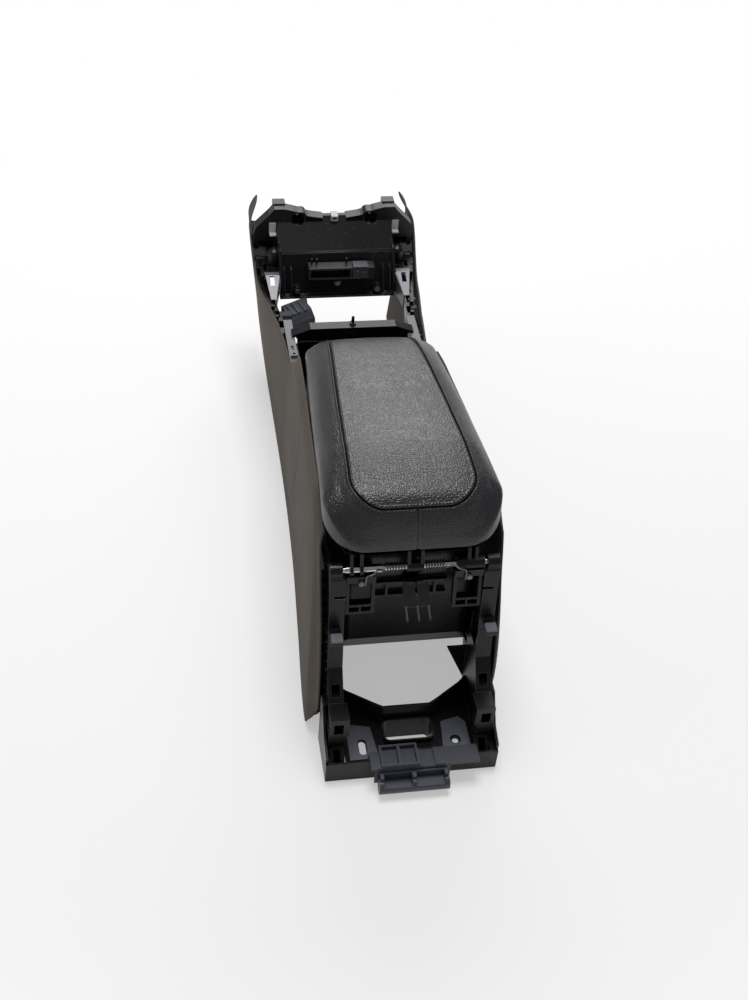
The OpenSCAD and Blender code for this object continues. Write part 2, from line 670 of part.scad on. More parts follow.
module side_rail() {
    x0 = bin_w / 2;
    z0 = rail_z - rail_h;
    pocket = 30;
    count = floor((rail_front_y - rail_rear_y - 20) / (pocket + 8));
    difference() {
        block(x0, rail_out, rail_rear_y, rail_front_y, z0, rail_z);
        for (i = [0 : count - 1]) let(y = rail_rear_y + 12 + i * (pocket + 8))
            block(x0 + 2.5, rail_out + 1, y, y + pocket, z0 + 3, rail_z - 13);
        for (y = [lid_front_y + 34, lid_front_y + 76])
            translate([x0 + rail_w / 2, y, rail_z - 12]) cylinder(h = 20, d = 4.2);
    }
    difference() {
        block(x0, rail_out + 2.5, lid_front_y + 16, rail_front_y, rail_z, rail_z + flange_t);
        for (y = [lid_front_y + 34, lid_front_y + 76])
            translate([x0 + rail_w / 2, y, rail_z - 1]) cylinder(h = 20, d = 4.2);
        block(x0 + 4, rail_out - 2, lid_front_y + 84, lid_front_y + 94, rail_z - 1, rail_z + 6);
    }
    // raised ribs round the clip slot
    for (y = [lid_front_y + 52, lid_front_y + 66])
        block(x0 + 1, rail_out + 1, y - 1, y + 1, rail_z + flange_t - 0.5, rail_z + flange_t + 5);
}

module side_rail_right() {
    color("#818083") side_rail();
}

module side_rail_left() {
    color("#818083") left() side_rail();
}

// Storage bin
cover_t = 6;
bin_front_y = lid_front_y - 9;
bin_rear_y = hinge_y + 12;
rim_drop = cover_t + bin_gap;
function bin_top(y) = lid_plane(y) - rim_drop;
bin_low_y = hinge_y + 92;
bin_back_z = hinge_z + 9;

module bin_profile(inset, floor_z) {
    polygon([
        [bin_rear_y + 8 + inset, floor_z], [bin_front_y - 14 - inset, floor_z],
        [bin_front_y - inset, floor_z + 16], [bin_front_y - inset, bin_top(bin_front_y)],
        [bin_low_y, bin_top(bin_low_y)], [bin_rear_y + 30, bin_back_z + 8], [bin_rear_y + inset, bin_back_z],
        [bin_rear_y + inset, floor_z + 22]
    ]);
}

module bin_body(inset, floor_z) {
    intersection() {
        across(bin_w - 2 * inset) bin_profile(inset, floor_z);
        translate([0, (bin_front_y + bin_rear_y) / 2, bin_z - 50]) linear_extrude(height = 400)
            rounded(bin_w - 2 * inset, bin_front_y - bin_rear_y - 2 * inset, bin_r - inset);
    }
}

module storage_bin() {
    brace_z = hinge_z - 36;
    color("#1c1c1f") {
        difference() {
            bin_body(0, bin_z);
            bin_body(bin_t, bin_z + bin_t);
            translate([0, 0, 40]) intersection() {
                bin_body(bin_t, bin_z + bin_t + 20);
                block(-200, 200, -600, 600, 200, 400);
            }
            for (s = [-1, 1]) bar_y(s * bracket_screw_x, bin_rear_y - 1, bin_rear_y + bin_t + 1, bracket_screw_z,
                bracket_screw_d + 0.1);
        }
        // seats of the rubber buffers
        both() for (y = bumper_y) block(bin_w / 2 - bin_t - bumper_d - 1, bin_w / 2 - bin_t + 0.5, y - 7, y + 7,
            bin_top(y) - 17, bin_top(y) - 14);
        // ledges that hang on the side rails
        both() for (y = [bin_rear_y + 40, bin_rear_y + 150, bin_rear_y + 260])
            block(bin_w / 2 - 1, bin_w / 2 + 6, y, y + 60, rail_z, rail_z + 3);
        // ribs across the back wall
        for (z = [brace_z, brace_z - 22]) block(-44, 44, bin_rear_y - 6, bin_rear_y + 1, z, z + 3);
        for (x = [-30, 30]) block(x - 1.5, x + 1.5, bin_rear_y - 6, bin_rear_y + 1, brace_z - 22, brace_z + 3);
    }
}

module bin_mat() {
    color("#232326") translate([0, (bin_front_y + bin_rear_y) / 2, bin_z + bin_t]) difference() {
        linear_extrude(height = 3) rounded(bin_w - 40, bin_front_y - bin_rear_y - 50, bin_r);
        for (i = [-8 : 8]) translate([-50, i * 16 - 1.5, 2]) cube([100, 3, 2]);
    }
}

// Rubber buffers on the bin's rim
bumper_d = 9;
bumper_y = [bin_front_y - 34, bin_low_y + 50];

module lid_bumpers() {
    in_lid = 0.3;
    color("#141416") both() for (y = bumper_y) {
        translate([bin_w / 2 - bin_t - bumper_d / 2, y, bin_top(y) - 14])
            cylinder(h = 14 + (bin_gap - in_lid) / cos(lid_tilt) - 0.6, d = bumper_d);
    }
}

striker_lip = 3.5;

module latch_striker() {
    color("#b8b8bc") {
        block(-16, 16, bin_front_y, bin_front_y + 1.5, bin_top(bin_front_y) - 26, bin_top(bin_front_y) - 3);
        block(-16, 16, bin_front_y, bin_front_y + striker_lip, bin_top(bin_front_y) - 6, bin_top(bin_front_y) - 3);
        for (x = [-10, 10]) bar_y(x, bin_front_y + 1.5, bin_front_y + 3, bin_top(bin_front_y) - 18, 6);
    }
}

// Rear frame: two sloping posts, a curved wall behind the floor opening and a
// platform with the bolt holes
post_in = post_half - post_w;
post_rear = [
    [hinge_y - 12, hinge_z - 6], [hinge_y - 19, hinge_z - 70], [hinge_y - 32, hinge_z - 140],
    [hinge_y - 59, hinge_z - 180], [hinge_y - 67, 40], [rear_y + 34, 12], [rear_y + 34, 0]
];
post_front = [
    [hinge_y + 3, 0], [hinge_y + 3, 40], [rail_rear_y, 108], [rail_rear_y, hinge_z - 20],
    [hinge_y + 14, hinge_z - 6]
];
platform_front = hinge_y - 43;
platform_rear = rear_y + 34;
base_half = 110;
wall_h = 60;
bolt_y = rear_y + 61;
duct_y = platform_front - 23;

seat_fit = 0.03;

post_gap = 0.15;

module post() {
    rear_end = platform_rear + 3 + post_gap;
    difference() {
        union() {
            translate([post_half - post_w / 2, 0, 0]) across(post_w) polygon(concat(post_rear, post_front));
            bar_x(post_in + 4, post_half, hinge_y, hinge_z, sleeve_d + 2);
            translate([post_half - 7.5, 0, 0]) across(15) polygon([
                [hinge_y - 12, hinge_z - 12], [hinge_y - 8, hinge_z + 2], [hinge_y + 8, hinge_z + 2],
                [hinge_y + 14, hinge_z - 12]
            ]);
            // block and foot low on the post
            block(post_in - 4, post_half + 1, hinge_y - 86, hinge_y - 58, 62, 92);
            block(post_in, post_half + 2, hinge_y - 86, hinge_y - 40, 40, 64);
            // tab that the felt pad sits on
            block(post_half - 15, post_half, hinge_y - 46, hinge_y - 18, hinge_z - 84, hinge_z - 80);
            // outer strip and skirt of the base
            block(post_half - 1, base_half, rear_end, platform_front, platform_z - 3, platform_z);
            translate([base_half - 1.5, 0, 0]) across(3) polygon([
                [rear_end, 0], [rear_end, platform_z + 16], [rear_end + 24, platform_z + 25],
                [platform_front - 12, platform_z + 60], [platform_front + 3, platform_z + 60], [platform_front + 3, 0]
            ]);
            block(post_half - 1, base_half - 1, platform_front - 8, platform_front - 5, 0, platform_z + 56);
            // ribbed flange behind the side panel's rear edge
            translate([(post_half + flange_out) / 2 - 0.5, 0, 0]) across(flange_out - post_half + 1) polygon(concat(
                [for (z = flange_z) [curve(rear_line, z) + 13, z]],
                [for (i = [len(flange_z) - 1 : -1 : 0]) [curve(rear_line, flange_z[i]) + 16, flange_z[i]]]));
            for (z = [64 : 14 : 176])
                block(post_half - 1, post_half + 1.4, curve(rear_line, z) + 1, curve(rear_line, z) + 14, z, z + 2);
        }
        bar_x(post_in - 8, post_half - 2, hinge_y, hinge_z, shaft_d + 2 * seat_fit);
        block(post_in - 1, bin_w / 2 + seat, bin_rear_y - 0.6, 0, bin_z - 4, hinge_z + 20);
        // clip slots and lightening pockets
        block(post_in - 1, post_half - 6, hinge_y - 15, hinge_y + 18, hinge_z - 62, hinge_z - 30);
        block(post_in - 1, post_half - 5, hinge_y - 24, hinge_y + 6, hinge_z - 132, hinge_z - 96);
        block(post_in + 4, post_half - 4, hinge_y - 80, hinge_y - 20, 98, 112);
        block(post_in + 3, post_half - 4, hinge_y - 92, hinge_y - 62, 66, 84);
        block(post_in - 1, post_half - 5, hinge_y - 60, hinge_y - 4, 34, 58);
        block(post_in + 5, post_half - 5, rear_y + 30, rear_y + 60, 14, 34);
        block(0, 200, rear_y, rear_end, -1, platform_z + 20);
    }
}

flange_out = post_half + 2;
flange_z = [50, 62, 80, 100, 120, 140, 158, 172, 186];

module rear_post_right() {
    color("#1a1a1d") {
        post();
        // gusset under the bin's corner
        translate([0, hinge_y + 8, 0]) lengthwise(3) polygon([
            [post_in - 26, bin_z - 2], [post_in + 1, bin_z - 2], [post_in + 1, 44]
        ]);
    }
}

module rear_post_left() {
    color("#1a1a1d") left() post();
}

// Plan of the wall's front face, from the middle to the right post
wall_plan = [[30, platform_front], [41, hinge_y - 36], [74, hinge_y - 13], [post_in - post_gap, hinge_y - 3]];
function plan_line(d) = concat([for (i = [3 : -1 : 0]) [-wall_plan[i][0], wall_plan[i][1] - d]],
    [for (p = wall_plan) [p[0], p[1] - d]]);

module rear_wall() {
    back = plan_line(3);
    color("#1a1a1d") linear_extrude(height = wall_h)
        polygon(concat(plan_line(0), [for (i = [7 : -1 : 0]) back[i]]));
}

module rear_platform() {
    half = post_in - post_gap;
    color("#1a1a1d") difference() {
        union() {
            translate([0, 0, platform_z - 3]) linear_extrude(height = 3)
                polygon(concat(plan_line(3 + post_gap), [[half, platform_rear], [-half, platform_rear]]));
            block(-base_half, base_half, platform_rear, platform_rear + 3, 0, platform_z + 6);
            both() block(bolt_x + 10, bolt_x + 12, platform_rear, platform_front - 4, 0, platform_z - 2);
        }
        // duct opening
        translate([0, duct_y, 0]) linear_extrude(height = 100) rounded(duct_w + 0.6, duct_d + 0.6, duct_r);
        // right bolt hole and left bolt slot
        translate([bolt_x, bolt_y, 0]) cylinder(h = platform_z + 5, d = bolt_d);
        left() bolt_slot(bolt_d);
    }
}

module bolt_slot(d) {
    for (s = [-1, 1]) translate([bolt_x, bolt_y + s * (slot_l - bolt_d) / 2, 0]) cylinder(h = platform_z + 5, d = d);
    block(bolt_x - d / 2, bolt_x + d / 2, bolt_y - (slot_l - bolt_d) / 2, bolt_y + (slot_l - bolt_d) / 2,
        0, platform_z + 5);
}

// Steel plates that spread the load of the floor bolts
module floor_plate() {
    translate([0, 0, platform_z + 0.1]) linear_extrude(height = 2)
        polygon([[41, platform_rear + 8], [78, platform_rear + 8], [78, platform_front - 12], [70, platform_front - 2],
                 [46, platform_front - 8]]);
}

module floor_plates() {
    color("#6d7078") {
        difference() {
            floor_plate();
            translate([bolt_x, bolt_y, 0]) cylinder(h = platform_z + 5, d = bolt_d + 5);
        }
        left() difference() {
            floor_plate();
            bolt_slot(bolt_d + 2);
        }
    }
}

module felt_pad() {
    translate([post_half - 8, hinge_y - 38, hinge_z - 80]) linear_extrude(height = 3) rounded(14, 14, 2);
}

module felt_pad_right() {
    color("#6f7177") felt_pad();
}

module felt_pad_left() {
    color("#6f7177") left() felt_pad();
}

// Air duct stub between the platform's bolts
duct_w = 66;
duct_d = 34;
duct_r = 9;

module air_duct() {
    wall = 2.2;
    lip = 2;
    color("#121214") translate([0, duct_y, 0]) difference() {
        union() {
            translate([0, 0, 4]) linear_extrude(height = platform_z + 8) rounded(duct_w, duct_d, duct_r);
            translate([0, 0, platform_z]) linear_extrude(height = 2) rounded(duct_w + 2 * lip, duct_d + 2 * lip, duct_r + lip);
        }
        translate([0, 0, 3]) linear_extrude(height = 80) rounded(duct_w - 2 * wall, duct_d - 2 * wall, duct_r - wall);
    }
}

// Bracket plate across the rear edge
tray_y0 = rear_y + 20;
tray_y1 = rear_y + 46;

module rear_tray() {
    z = platform_z + 6;
    color("#43464d") {
        difference() {
            union() {
                block(-55, 83, tray_y0, tray_y1, z, z + 4);
                block(-42, 6, tray_y0, tray_y1 + 6, z, z + 9);
            }
            block(-39, -20, tray_y0 + 3, tray_y1 + 3, z + 3, z + 10);
            block(-16, 3, tray_y0 + 3, tray_y1 + 3, z + 3, z + 10);
            block(10, 26, tray_y0 - 1, tray_y1 + 1, z + 1.5, z + 5);
        }
        block(-50, 46, tray_y0, tray_y0 + 3, 8, z + 1);
    }
}

// Socket housing behind the tray
module rear_socket() {
    r = (tray_y0 - rear_y) / 2;
    zc = r + 4;
    color("#33333f") difference() {
        union() {
            bar_x(-46, 43, rear_y + r, zc, 2 * r);
            block(-44, 41, rear_y + r, tray_y0, zc - r + 2, zc + r + 6);
        }
        block(-40, -4, rear_y + 2, tray_y0 - 3, zc + 3, zc + 20);
        block(1, 37, rear_y + 2, tray_y0 - 3, zc + 5, zc + 20);
        bar_x(38, 50, rear_y + r, zc, 11);
    }
}

// Hinge brackets: a trough under each sleeve and a window frame below it
sleeve_r = sleeve_d / 2;
trough_gap = 0.6;
window_h = 50;
bracket_screw_d = 3.6;
bracket_screw_x = sleeve_x + sleeve_l / 2 - 1.5;
bracket_screw_z = hinge_z - sleeve_r - 3;

module hinge_bracket() {
    x0 = sleeve_x - 2;
    x1 = sleeve_x + sleeve_l - 1;
    z1 = hinge_z - sleeve_r - 1;
    lean = 10;
    difference() {
        union() {
            // window frame
            translate([(x0 + x1) / 2, 0, 0]) across(x1 - x0) polygon([
                [hinge_y - 7, z1], [hinge_y + 3, z1], [hinge_y - lean + 3, z1 - window_h],
                [hinge_y - lean - 7, z1 - window_h]
            ]);
            // trough
            translate([(x0 + x1) / 2, 0, 0]) across(x1 - x0) polygon([
                [hinge_y - sleeve_r - 2, hinge_z - 3], [hinge_y - sleeve_r - 2, z1 - 3], [hinge_y + 12, z1 - 3],
                [hinge_y + 12, z1 + 4], [hinge_y + 6, hinge_z - sleeve_r + 1]
            ]);
        }
        bar_x(x0 - 5, x1 + 5, hinge_y, hinge_z, sleeve_d + 2 * trough_gap);
        // window and the two small cells under it
        block(x0 + 4, x1 - 4, hinge_y - 40, hinge_y + 40, z1 - window_h + 13, z1 - 6);
        for (x = [x0 + 4, (x0 + x1) / 2 + 1]) block(x, x + (x1 - x0) / 2 - 5, hinge_y - 40, hinge_y + 40,
            z1 - window_h + 3, z1 - window_h + 10);
        bar_y(bracket_screw_x, hinge_y - 20, hinge_y + 30, bracket_screw_z, bracket_screw_d + 0.1);
    }
}

module hinge_bracket_right() {
    color("#202023") hinge_bracket();
}

module hinge_bracket_left() {
    color("#202023") left() hinge_bracket();
}

module bracket_screws() {
    y0 = hinge_y - sleeve_r - 2.3;
    color("#8f9095") both() {
        bar_y(bracket_screw_x, y0, bin_rear_y + bin_t, bracket_screw_z, bracket_screw_d);
        bar_y(bracket_screw_x, y0 - 3, y0, bracket_screw_z, 7);
    }
}

module hinge_shaft() {
    color("#c7c6cb") bar_x(-post_half + 2.2, post_half - 2.2, hinge_y, hinge_z, shaft_d);
}

// Bright tube on the left half of the shaft, which the left arm turns on
tube_x = sleeve_x - 10.5;

module hinge_tube_left() {
    color("#d2d2d6") left() difference() {
        bar_x(tube_x, post_in - 0.3, hinge_y, hinge_z, tube_d);
        bar_x(tube_x - 1, post_in + 1, hinge_y, hinge_z, shaft_d + 2 * seat_fit);
    }
}

// Torsion springs: wound on the shaft, with the outer leg hooked over the bracket
spring_x = 12;
coil_r = shaft_d / 2 + 0.5 + wire_d / 2;

module torsion_spring() {
    steps = 14;
    n = spring_turns * steps;
    pitch = (spring_l - wire_d) / spring_turns;
    coil = [for (i = [0 : n]) let(a = 360 * i / steps)
        [spring_x + wire_d / 2 + pitch * i / steps, hinge_y - coil_r * cos(a), hinge_z + coil_r * sin(a)]];
    end_x = spring_x + spring_l;
    back = hinge_y - sleeve_r - 2 - wire_d;
    leg = [[end_x + 2, hinge_y - coil_r - 1, hinge_z + 2], [end_x + 8, hinge_y - coil_r - 2, hinge_z + 4],
           [sleeve_x + 3, back - 0.2, hinge_z + 3], [sleeve_x + 9, back - 0.4, hinge_z + 1],
           [sleeve_x + 10.5, back - 0.6, hinge_z - 5], [sleeve_x + 10.5, back - 0.8, hinge_z - 15]];
    wire(concat(coil, leg), wire_d);
}

module torsion_spring_right() {
    color("#3a3a3c") torsion_spring();
}

module torsion_spring_left() {
    color("#3a3a3c") left() torsion_spring();
}

// Hooked plate behind the middle of the hinge
module rear_hook_plate() {
    color("#2a2a2d") {
        difference() {
            union() {
                translate([0, 0, 0]) across(32) polygon([
                    [hinge_y - 14, hinge_z - 18], [hinge_y - 12, hinge_z - 15], [hinge_y - 32, hinge_z - 33],
                    [hinge_y - 34, hinge_z - 36]
                ]);
                across(22) polygon([
                    [bin_rear_y - 6, hinge_z - 33], [bin_rear_y - 6, hinge_z - 25], [hinge_y - 14, hinge_z - 16.5],
                    [hinge_y - 16, hinge_z - 22]
                ]);
            }
            block(-1.5, 1.5, hinge_y - 24, hinge_y - 12, hinge_z - 40, hinge_z);
        }
        for (x = [-15, -1, 12.5]) translate([x + 1.25, 0, 0]) across(2.5) polygon([
            [hinge_y - 32, hinge_z - 34], [hinge_y - 34, hinge_z - 36], [hinge_y - 50, hinge_z - 44],
            [hinge_y - 49, hinge_z - 41]
        ]);
    }
}

// Lid
module in_lid() {
    translate([0, lid_y, lid_z]) rotate([-lid_tilt, 0, 0]) children();
}

// Outline of the lid, inset by s at the sides, f at the front and b at the back,
// as [x, y, share that faces sideways, sign of the end it faces]
corner_n = 6;
side_n = 7;
end_n = 3;
side_bulge = 1.5;
function lid_ring(s, f, b) =
    let(rf = max(5, lid_front_r - s), rr = lid_rear_r - 0.35 * s,
        wf = lid_front_half - s, wr = lid_rear_half - s, yf = lid_end - f, yr = -lid_end + b,
        right = concat(
            [for (i = [1 : end_n - 1]) [(wf - rf) * i / end_n, yf, 0, 1]],
            [for (i = [0 : corner_n]) let(a = 90 - 90 * i / corner_n)
                [wf - rf + rf * cos(a), yf - rf + rf * sin(a), cos(a) * cos(a), 1]],
            [for (i = [1 : side_n - 1]) let(q = 1 - pow(1 - i / side_n, 1.6))
                [wf + (wr - wf) * q + side_bulge * sin(180 * q), yf - rf + (yr + rr - yf + rf) * q, 1,
                 q < 0.5 ? 1 : -1]],
            [for (i = [0 : corner_n]) let(a = 90 * i / corner_n)
                [wr - rr + rr * cos(a), yr + rr - rr * sin(a), cos(a) * cos(a), -1]],
            [for (i = [1 : end_n - 1]) [(wr - rr) * (1 - i / end_n), yr, 0, -1]]),
        n = len(right))
    concat([[0, yf, 0, 1]], right, [[0, yr, 0, -1]],
        [for (i = [n - 1 : -1 : 0]) [-right[i][0], right[i][1], right[i][2], right[i][3]]]);

// How far the pad has rolled down below its crown, by the distance from its
// side, front and rear edges
side_roll = [[0, 33], [2.5, 26], [8, 19.5], [15, 13], [22, 8], [28, 4.6], [34, 3], [44, 1.6], [58, 0.6], [90, 0]];
front_roll = [[0, 39], [0.6, 34], [1.4, 30], [2.4, 27], [4.4, 22.5], [6.4, 20.2], [12, 16.4], [20, 12.6],
              [36, 7.5], [56, 4], [78, 1.8], [110, 0]];
rear_roll = [[0, 79], [1.5, 70], [4.5, 60], [8.5, 47], [12, 38], [14.5, 33], [18, 28], [30, 18], [42, 12.4],
             [54, 8.5], [84, 3], [110, 0]];
function side_half(y) = let(q = (lid_end - y) / lid_l) lid_front_half + (lid_rear_half - lid_front_half) * q;

// Rings of the pad: insets at the side, the rear and the front, and the depth
// of the sewn channel there
pad_rings = [
    [0, 0, 0, 0], [2.5, 1.5, 0.6, 0], [8, 4.5, 1.4, 0], [15, 8.5, 2.4, 0], [22, 12, 3.4, 0], [28, 14.5, 4.4, 0],
    [32, 16, 5.2, 0], [33.6, 17, 5.8, 1], [35.2, 18, 6.4, 0], [44, 28, 13, 0], [57, 50, 36, 0], [72, 84, 75, 0]
];
function crown(x, y) = pad_h - lookup(side_half(y) - abs(x), side_roll) - lookup(lid_end - y, front_roll)
    - lookup(lid_end + y, rear_roll);
function pad_point(p, k) =
    let(r = pad_rings[k], y = p[1], share = min(1, k / 4),
        end_z = pad_h - (p[3] > 0 ? lookup(r[2], front_roll) : lookup(r[1], rear_roll)),
        edge = lid_edge(lid_y + y * cos(lid_tilt)) - lid_plane(lid_y + y * cos(lid_tilt)),
        roll = lookup(lid_end - y, front_roll) + lookup(lid_end + y, rear_roll),
        wall_z = pad_h - lookup(r[0], side_roll) - roll * share,
        side_z = max(edge + 4 * k, wall_z),
        low_z = p[2] * side_z + (1 - p[2]) * end_z,
        w = step3((k - 3) / 3))
    k == 0 ? [p[0], y, edge]
    : [p[0], y, (1 - w) * low_z + w * crown(p[0], y) - groove_d * r[3] * (p[3] > 0 ? p[2] : 1)];

module loft(rings) {
    n = len(rings[0]);
    m = len(rings);
    walls = [for (k = [0 : m - 2]) for (i = [0 : n - 1]) let(a = k * n + i, b = k * n + (i + 1) % n)
        each [[a, b, a + n], [b, b + n, a + n]]];
    // each end is a fan round the mean of its ring
    ends = [for (r = [rings[0], rings[m - 1]]) [for (c = [0 : 2]) [for (p = r) p[c]] * [for (p = r) 1] / n]];
    caps = [for (i = [0 : n - 1]) let(j = (i + 1) % n, a = (m - 1) * n)
        each [[j, i, n * m], [a + i, a + j, n * m + 1]]];
    polyhedron(concat([for (r = rings) for (p = r) p], ends), concat(walls, caps), convexity = 6);
}

module lid_plate(inset, rear, z0, z1) {
    translate([0, 0, z0]) linear_extrude(height = z1 - z0)
        polygon([for (p = lid_ring(inset, inset, rear)) [p[0], p[1]]]);
}

// The pad is hollow for its core. Its roof steps down towards the rear.
pocket_z = 10;
pocket_low_z = -6;
rear_wall = 24;
roof_wall = 44;

module lid_pad() {
    color("#3a393c") in_lid() difference() {
        loft([for (k = [0 : len(pad_rings) - 1]) let(r = pad_rings[k])
            [for (p = lid_ring(r[0], r[2], r[1])) pad_point(p, k)]]);
        lid_plate(pad_wall, rear_wall, -rear_drop - 20, pocket_low_z);
        lid_plate(pad_wall, roof_wall, pocket_low_z - 1, pocket_z);
        // finger notch over the latch lever
        block(-notch_half, notch_half, lid_end - pad_wall - 1, lid_end + 2, -20, -0.6);
    }
}

core_z1 = pocket_z - 0.3;
core_z0 = core_z1 - core_t;
lug_x = 17;
notch_half = lug_x + 1.5;
lug_w = 3;
pivot_y = lid_end - 13.5;
pivot_z = -4.5;
pin_d = 3;

core_fit = 0.3;
core_inset = pad_wall + core_fit;
apron_half = 50;
rear_lip = -lid_end + rear_wall + core_fit;
roof_lip = -lid_end + roof_wall + core_fit;

step_half = lid_rear_half - 22;
step_z = pocket_low_z - core_fit;

module lid_core() {
    color("#1d1d20") in_lid() {
        lid_plate(core_inset, roof_wall + core_fit, core_z0, core_z1);
        // stiffening ribs, met by the inner cover
        for (x = [-apron_half, 0, apron_half])
            block(x - 1, x + 1, -lid_end + 82, lid_end - 40, core_z0 - 3.5, core_z0 + 1);
        // step down to the rear and the apron behind the pad's drop
        intersection() {
            lid_plate(core_inset, roof_wall + core_fit, step_z - 3, core_z1);
            block(-step_half, step_half, roof_lip, roof_lip + 3, -50, 50);
        }
        intersection() {
            lid_plate(core_inset, rear_wall + core_fit, step_z - 3, step_z);
            block(-step_half, step_half, rear_lip, roof_lip + 3, -50, 50);
        }
        for (x = [-28, 28]) block(x - 12, x + 12, rear_lip, rear_lip + 3, -rear_drop + 16, step_z);
        // lugs of the latch
        both() difference() {
            union() {
                block(lug_x, lug_x + lug_w, pivot_y - 4, pivot_y + 4, pivot_z, core_z0 + 1);
                bar_x(lug_x, lug_x + lug_w, pivot_y, pivot_z, 8);
            }
            bar_x(lug_x - 1, lug_x + lug_w + 1, pivot_y, pivot_z, pin_d);
        }
    }
}

cover_screw = [[62, lid_end - 60], [72, -lid_end + 112]];

module lid_inner_cover() {
    color("#2f2f33") in_lid() difference() {
        intersection() {
            lid_plate(14, 14, -cover_t, core_z0 - 3.5);
            block(-200, 200, -lid_end + 80, lid_end - 24, -50, 50);
        }
        intersection() {
            lid_plate(30, 30, -cover_t - 1, -cover_t + 3);
            block(-200, 200, -lid_end + 94, lid_end - 38, -50, 50);
        }
        for (s = [-1, 1]) for (p = cover_screw) translate([s * p[0], p[1], -50]) cylinder(h = 80, d = 4);
    }
}

module lid_screws() {
    color("#a4a4a8") in_lid() for (s = [-1, 1]) for (p = cover_screw) translate([s * p[0], p[1], 0]) {
        translate([0, 0, -cover_t - 1.6]) cylinder(h = 1.6, d = 8);
        translate([0, 0, -cover_t - 0.1]) cylinder(h = cover_t + core_z0 - 0.1, d = 4);
    }
}

// A point of the lid's frame, seen from the side, in the console's frame
function from_lid(y, z) =
    [lid_y + y * cos(lid_tilt) + z * sin(lid_tilt), lid_z - y * sin(lid_tilt) + z * cos(lid_tilt)];

// Side outline of an arm: up from the shaft, forwards between the bin's rear rim
// and the pad, then up to the core. z0 and z1 are where it leaves its sleeve.
arm_reach = 30;
arm_pass = hinge_z + 27;
function arm_outline(y0, z0, y1, z1) = [
    [hinge_y + y0, hinge_z + z0], [hinge_y + y1, hinge_z + z1], [hinge_y + 15, hinge_z + 16],
    [hinge_y + 33, hinge_z + 21.5], [hinge_y + 48, hinge_z + 31], from_lid(roof_lip + arm_reach - 10, -3),
    from_lid(roof_lip + arm_reach, core_z0), from_lid(roof_lip + 8, core_z0), from_lid(roof_lip + 8, step_z - 3),
    from_lid(rear_lip + 12, step_z - 3), [hinge_y + 37, arm_pass + 8], [hinge_y + 34, arm_pass],
    [hinge_y + 10, arm_pass], [hinge_y + 2, arm_pass - 4]
];

module lid_hinge_arm() {
    x0 = sleeve_x;
    web = 4;
    difference() {
        union() {
            bar_x(x0, x0 + sleeve_l, hinge_y, hinge_z, sleeve_d);
            for (x = [x0 + 13, x0 + 22]) translate([x + web / 2, 0, 0]) across(web)
                polygon(arm_outline(-4, sleeve_r - 3, 6, sleeve_r - 5));
        }
        bar_x(x0 - 1, x0 + sleeve_l + 1, hinge_y, hinge_z, shaft_d + 2 * run_fit);
    }
}

module lid_hinge_arm_right() {
    color("#252528") lid_hinge_arm();
}

// The left arm has two narrow eyes, which leave the tube between them in view.
module lid_hinge_arm_left() {
    web = 4;
    color("#252528") left() difference() {
        for (x = [sleeve_x + 13, sleeve_x + sleeve_l - web - 5]) {
            bar_x(x, x + web, hinge_y, hinge_z, sleeve_d);
            translate([x + web / 2, 0, 0]) across(web) polygon(arm_outline(-4, sleeve_r - 3, 6, sleeve_r - 5));
        }
        bar_x(sleeve_x - 1, sleeve_x + sleeve_l + 1, hinge_y, hinge_z, tube_d + 2 * run_fit);
    }
}

module lid_spring_knuckle() {
    half = spring_x - 2;
    color("#222225") difference() {
        union() {
            bar_x(-half, half, hinge_y, hinge_z, sleeve_d - 3);
            for (x = [-half, half - 4]) translate([x + 2, 0, 0]) across(4)
                polygon(arm_outline(-5, 3, 6, 3));
        }
        bar_x(-half - 1, half + 1, hinge_y, hinge_z, shaft_d + 2 * run_fit);
    }
}

// Latch at the front of the lid
lever_half = lug_x - 0.4;

lever_t = 2.5;
nose_gap = 0.7;
nose_t = 2.4;
// A point at a distance in front of the striker's lip, at a height in the lid's frame
function off_lip(d, z) = [(bin_front_y + striker_lip + d - lid_y - z * sin(lid_tilt)) / cos(lid_tilt), z];

module latch_lever() {
    top_z = -5.8;
    color("#18181a") in_lid() difference() {
        union() {
            bar_x(-lever_half, lever_half, pivot_y, pivot_z, 7);
            across(2 * lever_half) polygon([
                [pivot_y - 1, top_z], [lid_end - 3, top_z], [lid_end + 1, top_z - 1], [lid_end + 1, top_z - lever_t],
                [lid_end - 3, top_z - lever_t], [pivot_y - 1, top_z - lever_t]
            ]);
            // catch nose in front of the striker
            across(20) polygon([
                off_lip(nose_gap + nose_t, top_z - 1), off_lip(nose_gap + 0.4, top_z - 1), off_lip(nose_gap + 0.4, -14.5),
                off_lip(nose_gap, -16), off_lip(nose_gap, -20), off_lip(nose_gap + 1, -21.5),
                off_lip(nose_gap + nose_t, -20)
            ]);
        }
        bar_x(-lever_half - 1, lever_half + 1, pivot_y, pivot_z, pin_d + 2 * run_fit);
        block(-6, 6, pivot_y - 6, pivot_y + 3.2, pivot_z - 2.4, pivot_z + 6);
    }
}

module latch_pin() {
    color("#b9b9bd") in_lid() bar_x(-lug_x - lug_w, lug_x + lug_w, pivot_y, pivot_z, pin_d);
}

module latch_spring() {
    steps = 12;
    turns = 4;
    r = pin_d / 2 + 0.6;
    coil = [for (i = [0 : turns * steps]) let(a = 360 * i / steps - 90)
        [-4.5 + 9 * i / (turns * steps), pivot_y + r * cos(a), pivot_z + r * sin(a)]];
    color("#8d8d92") in_lid() wire(coil, 0.7, 6);
}

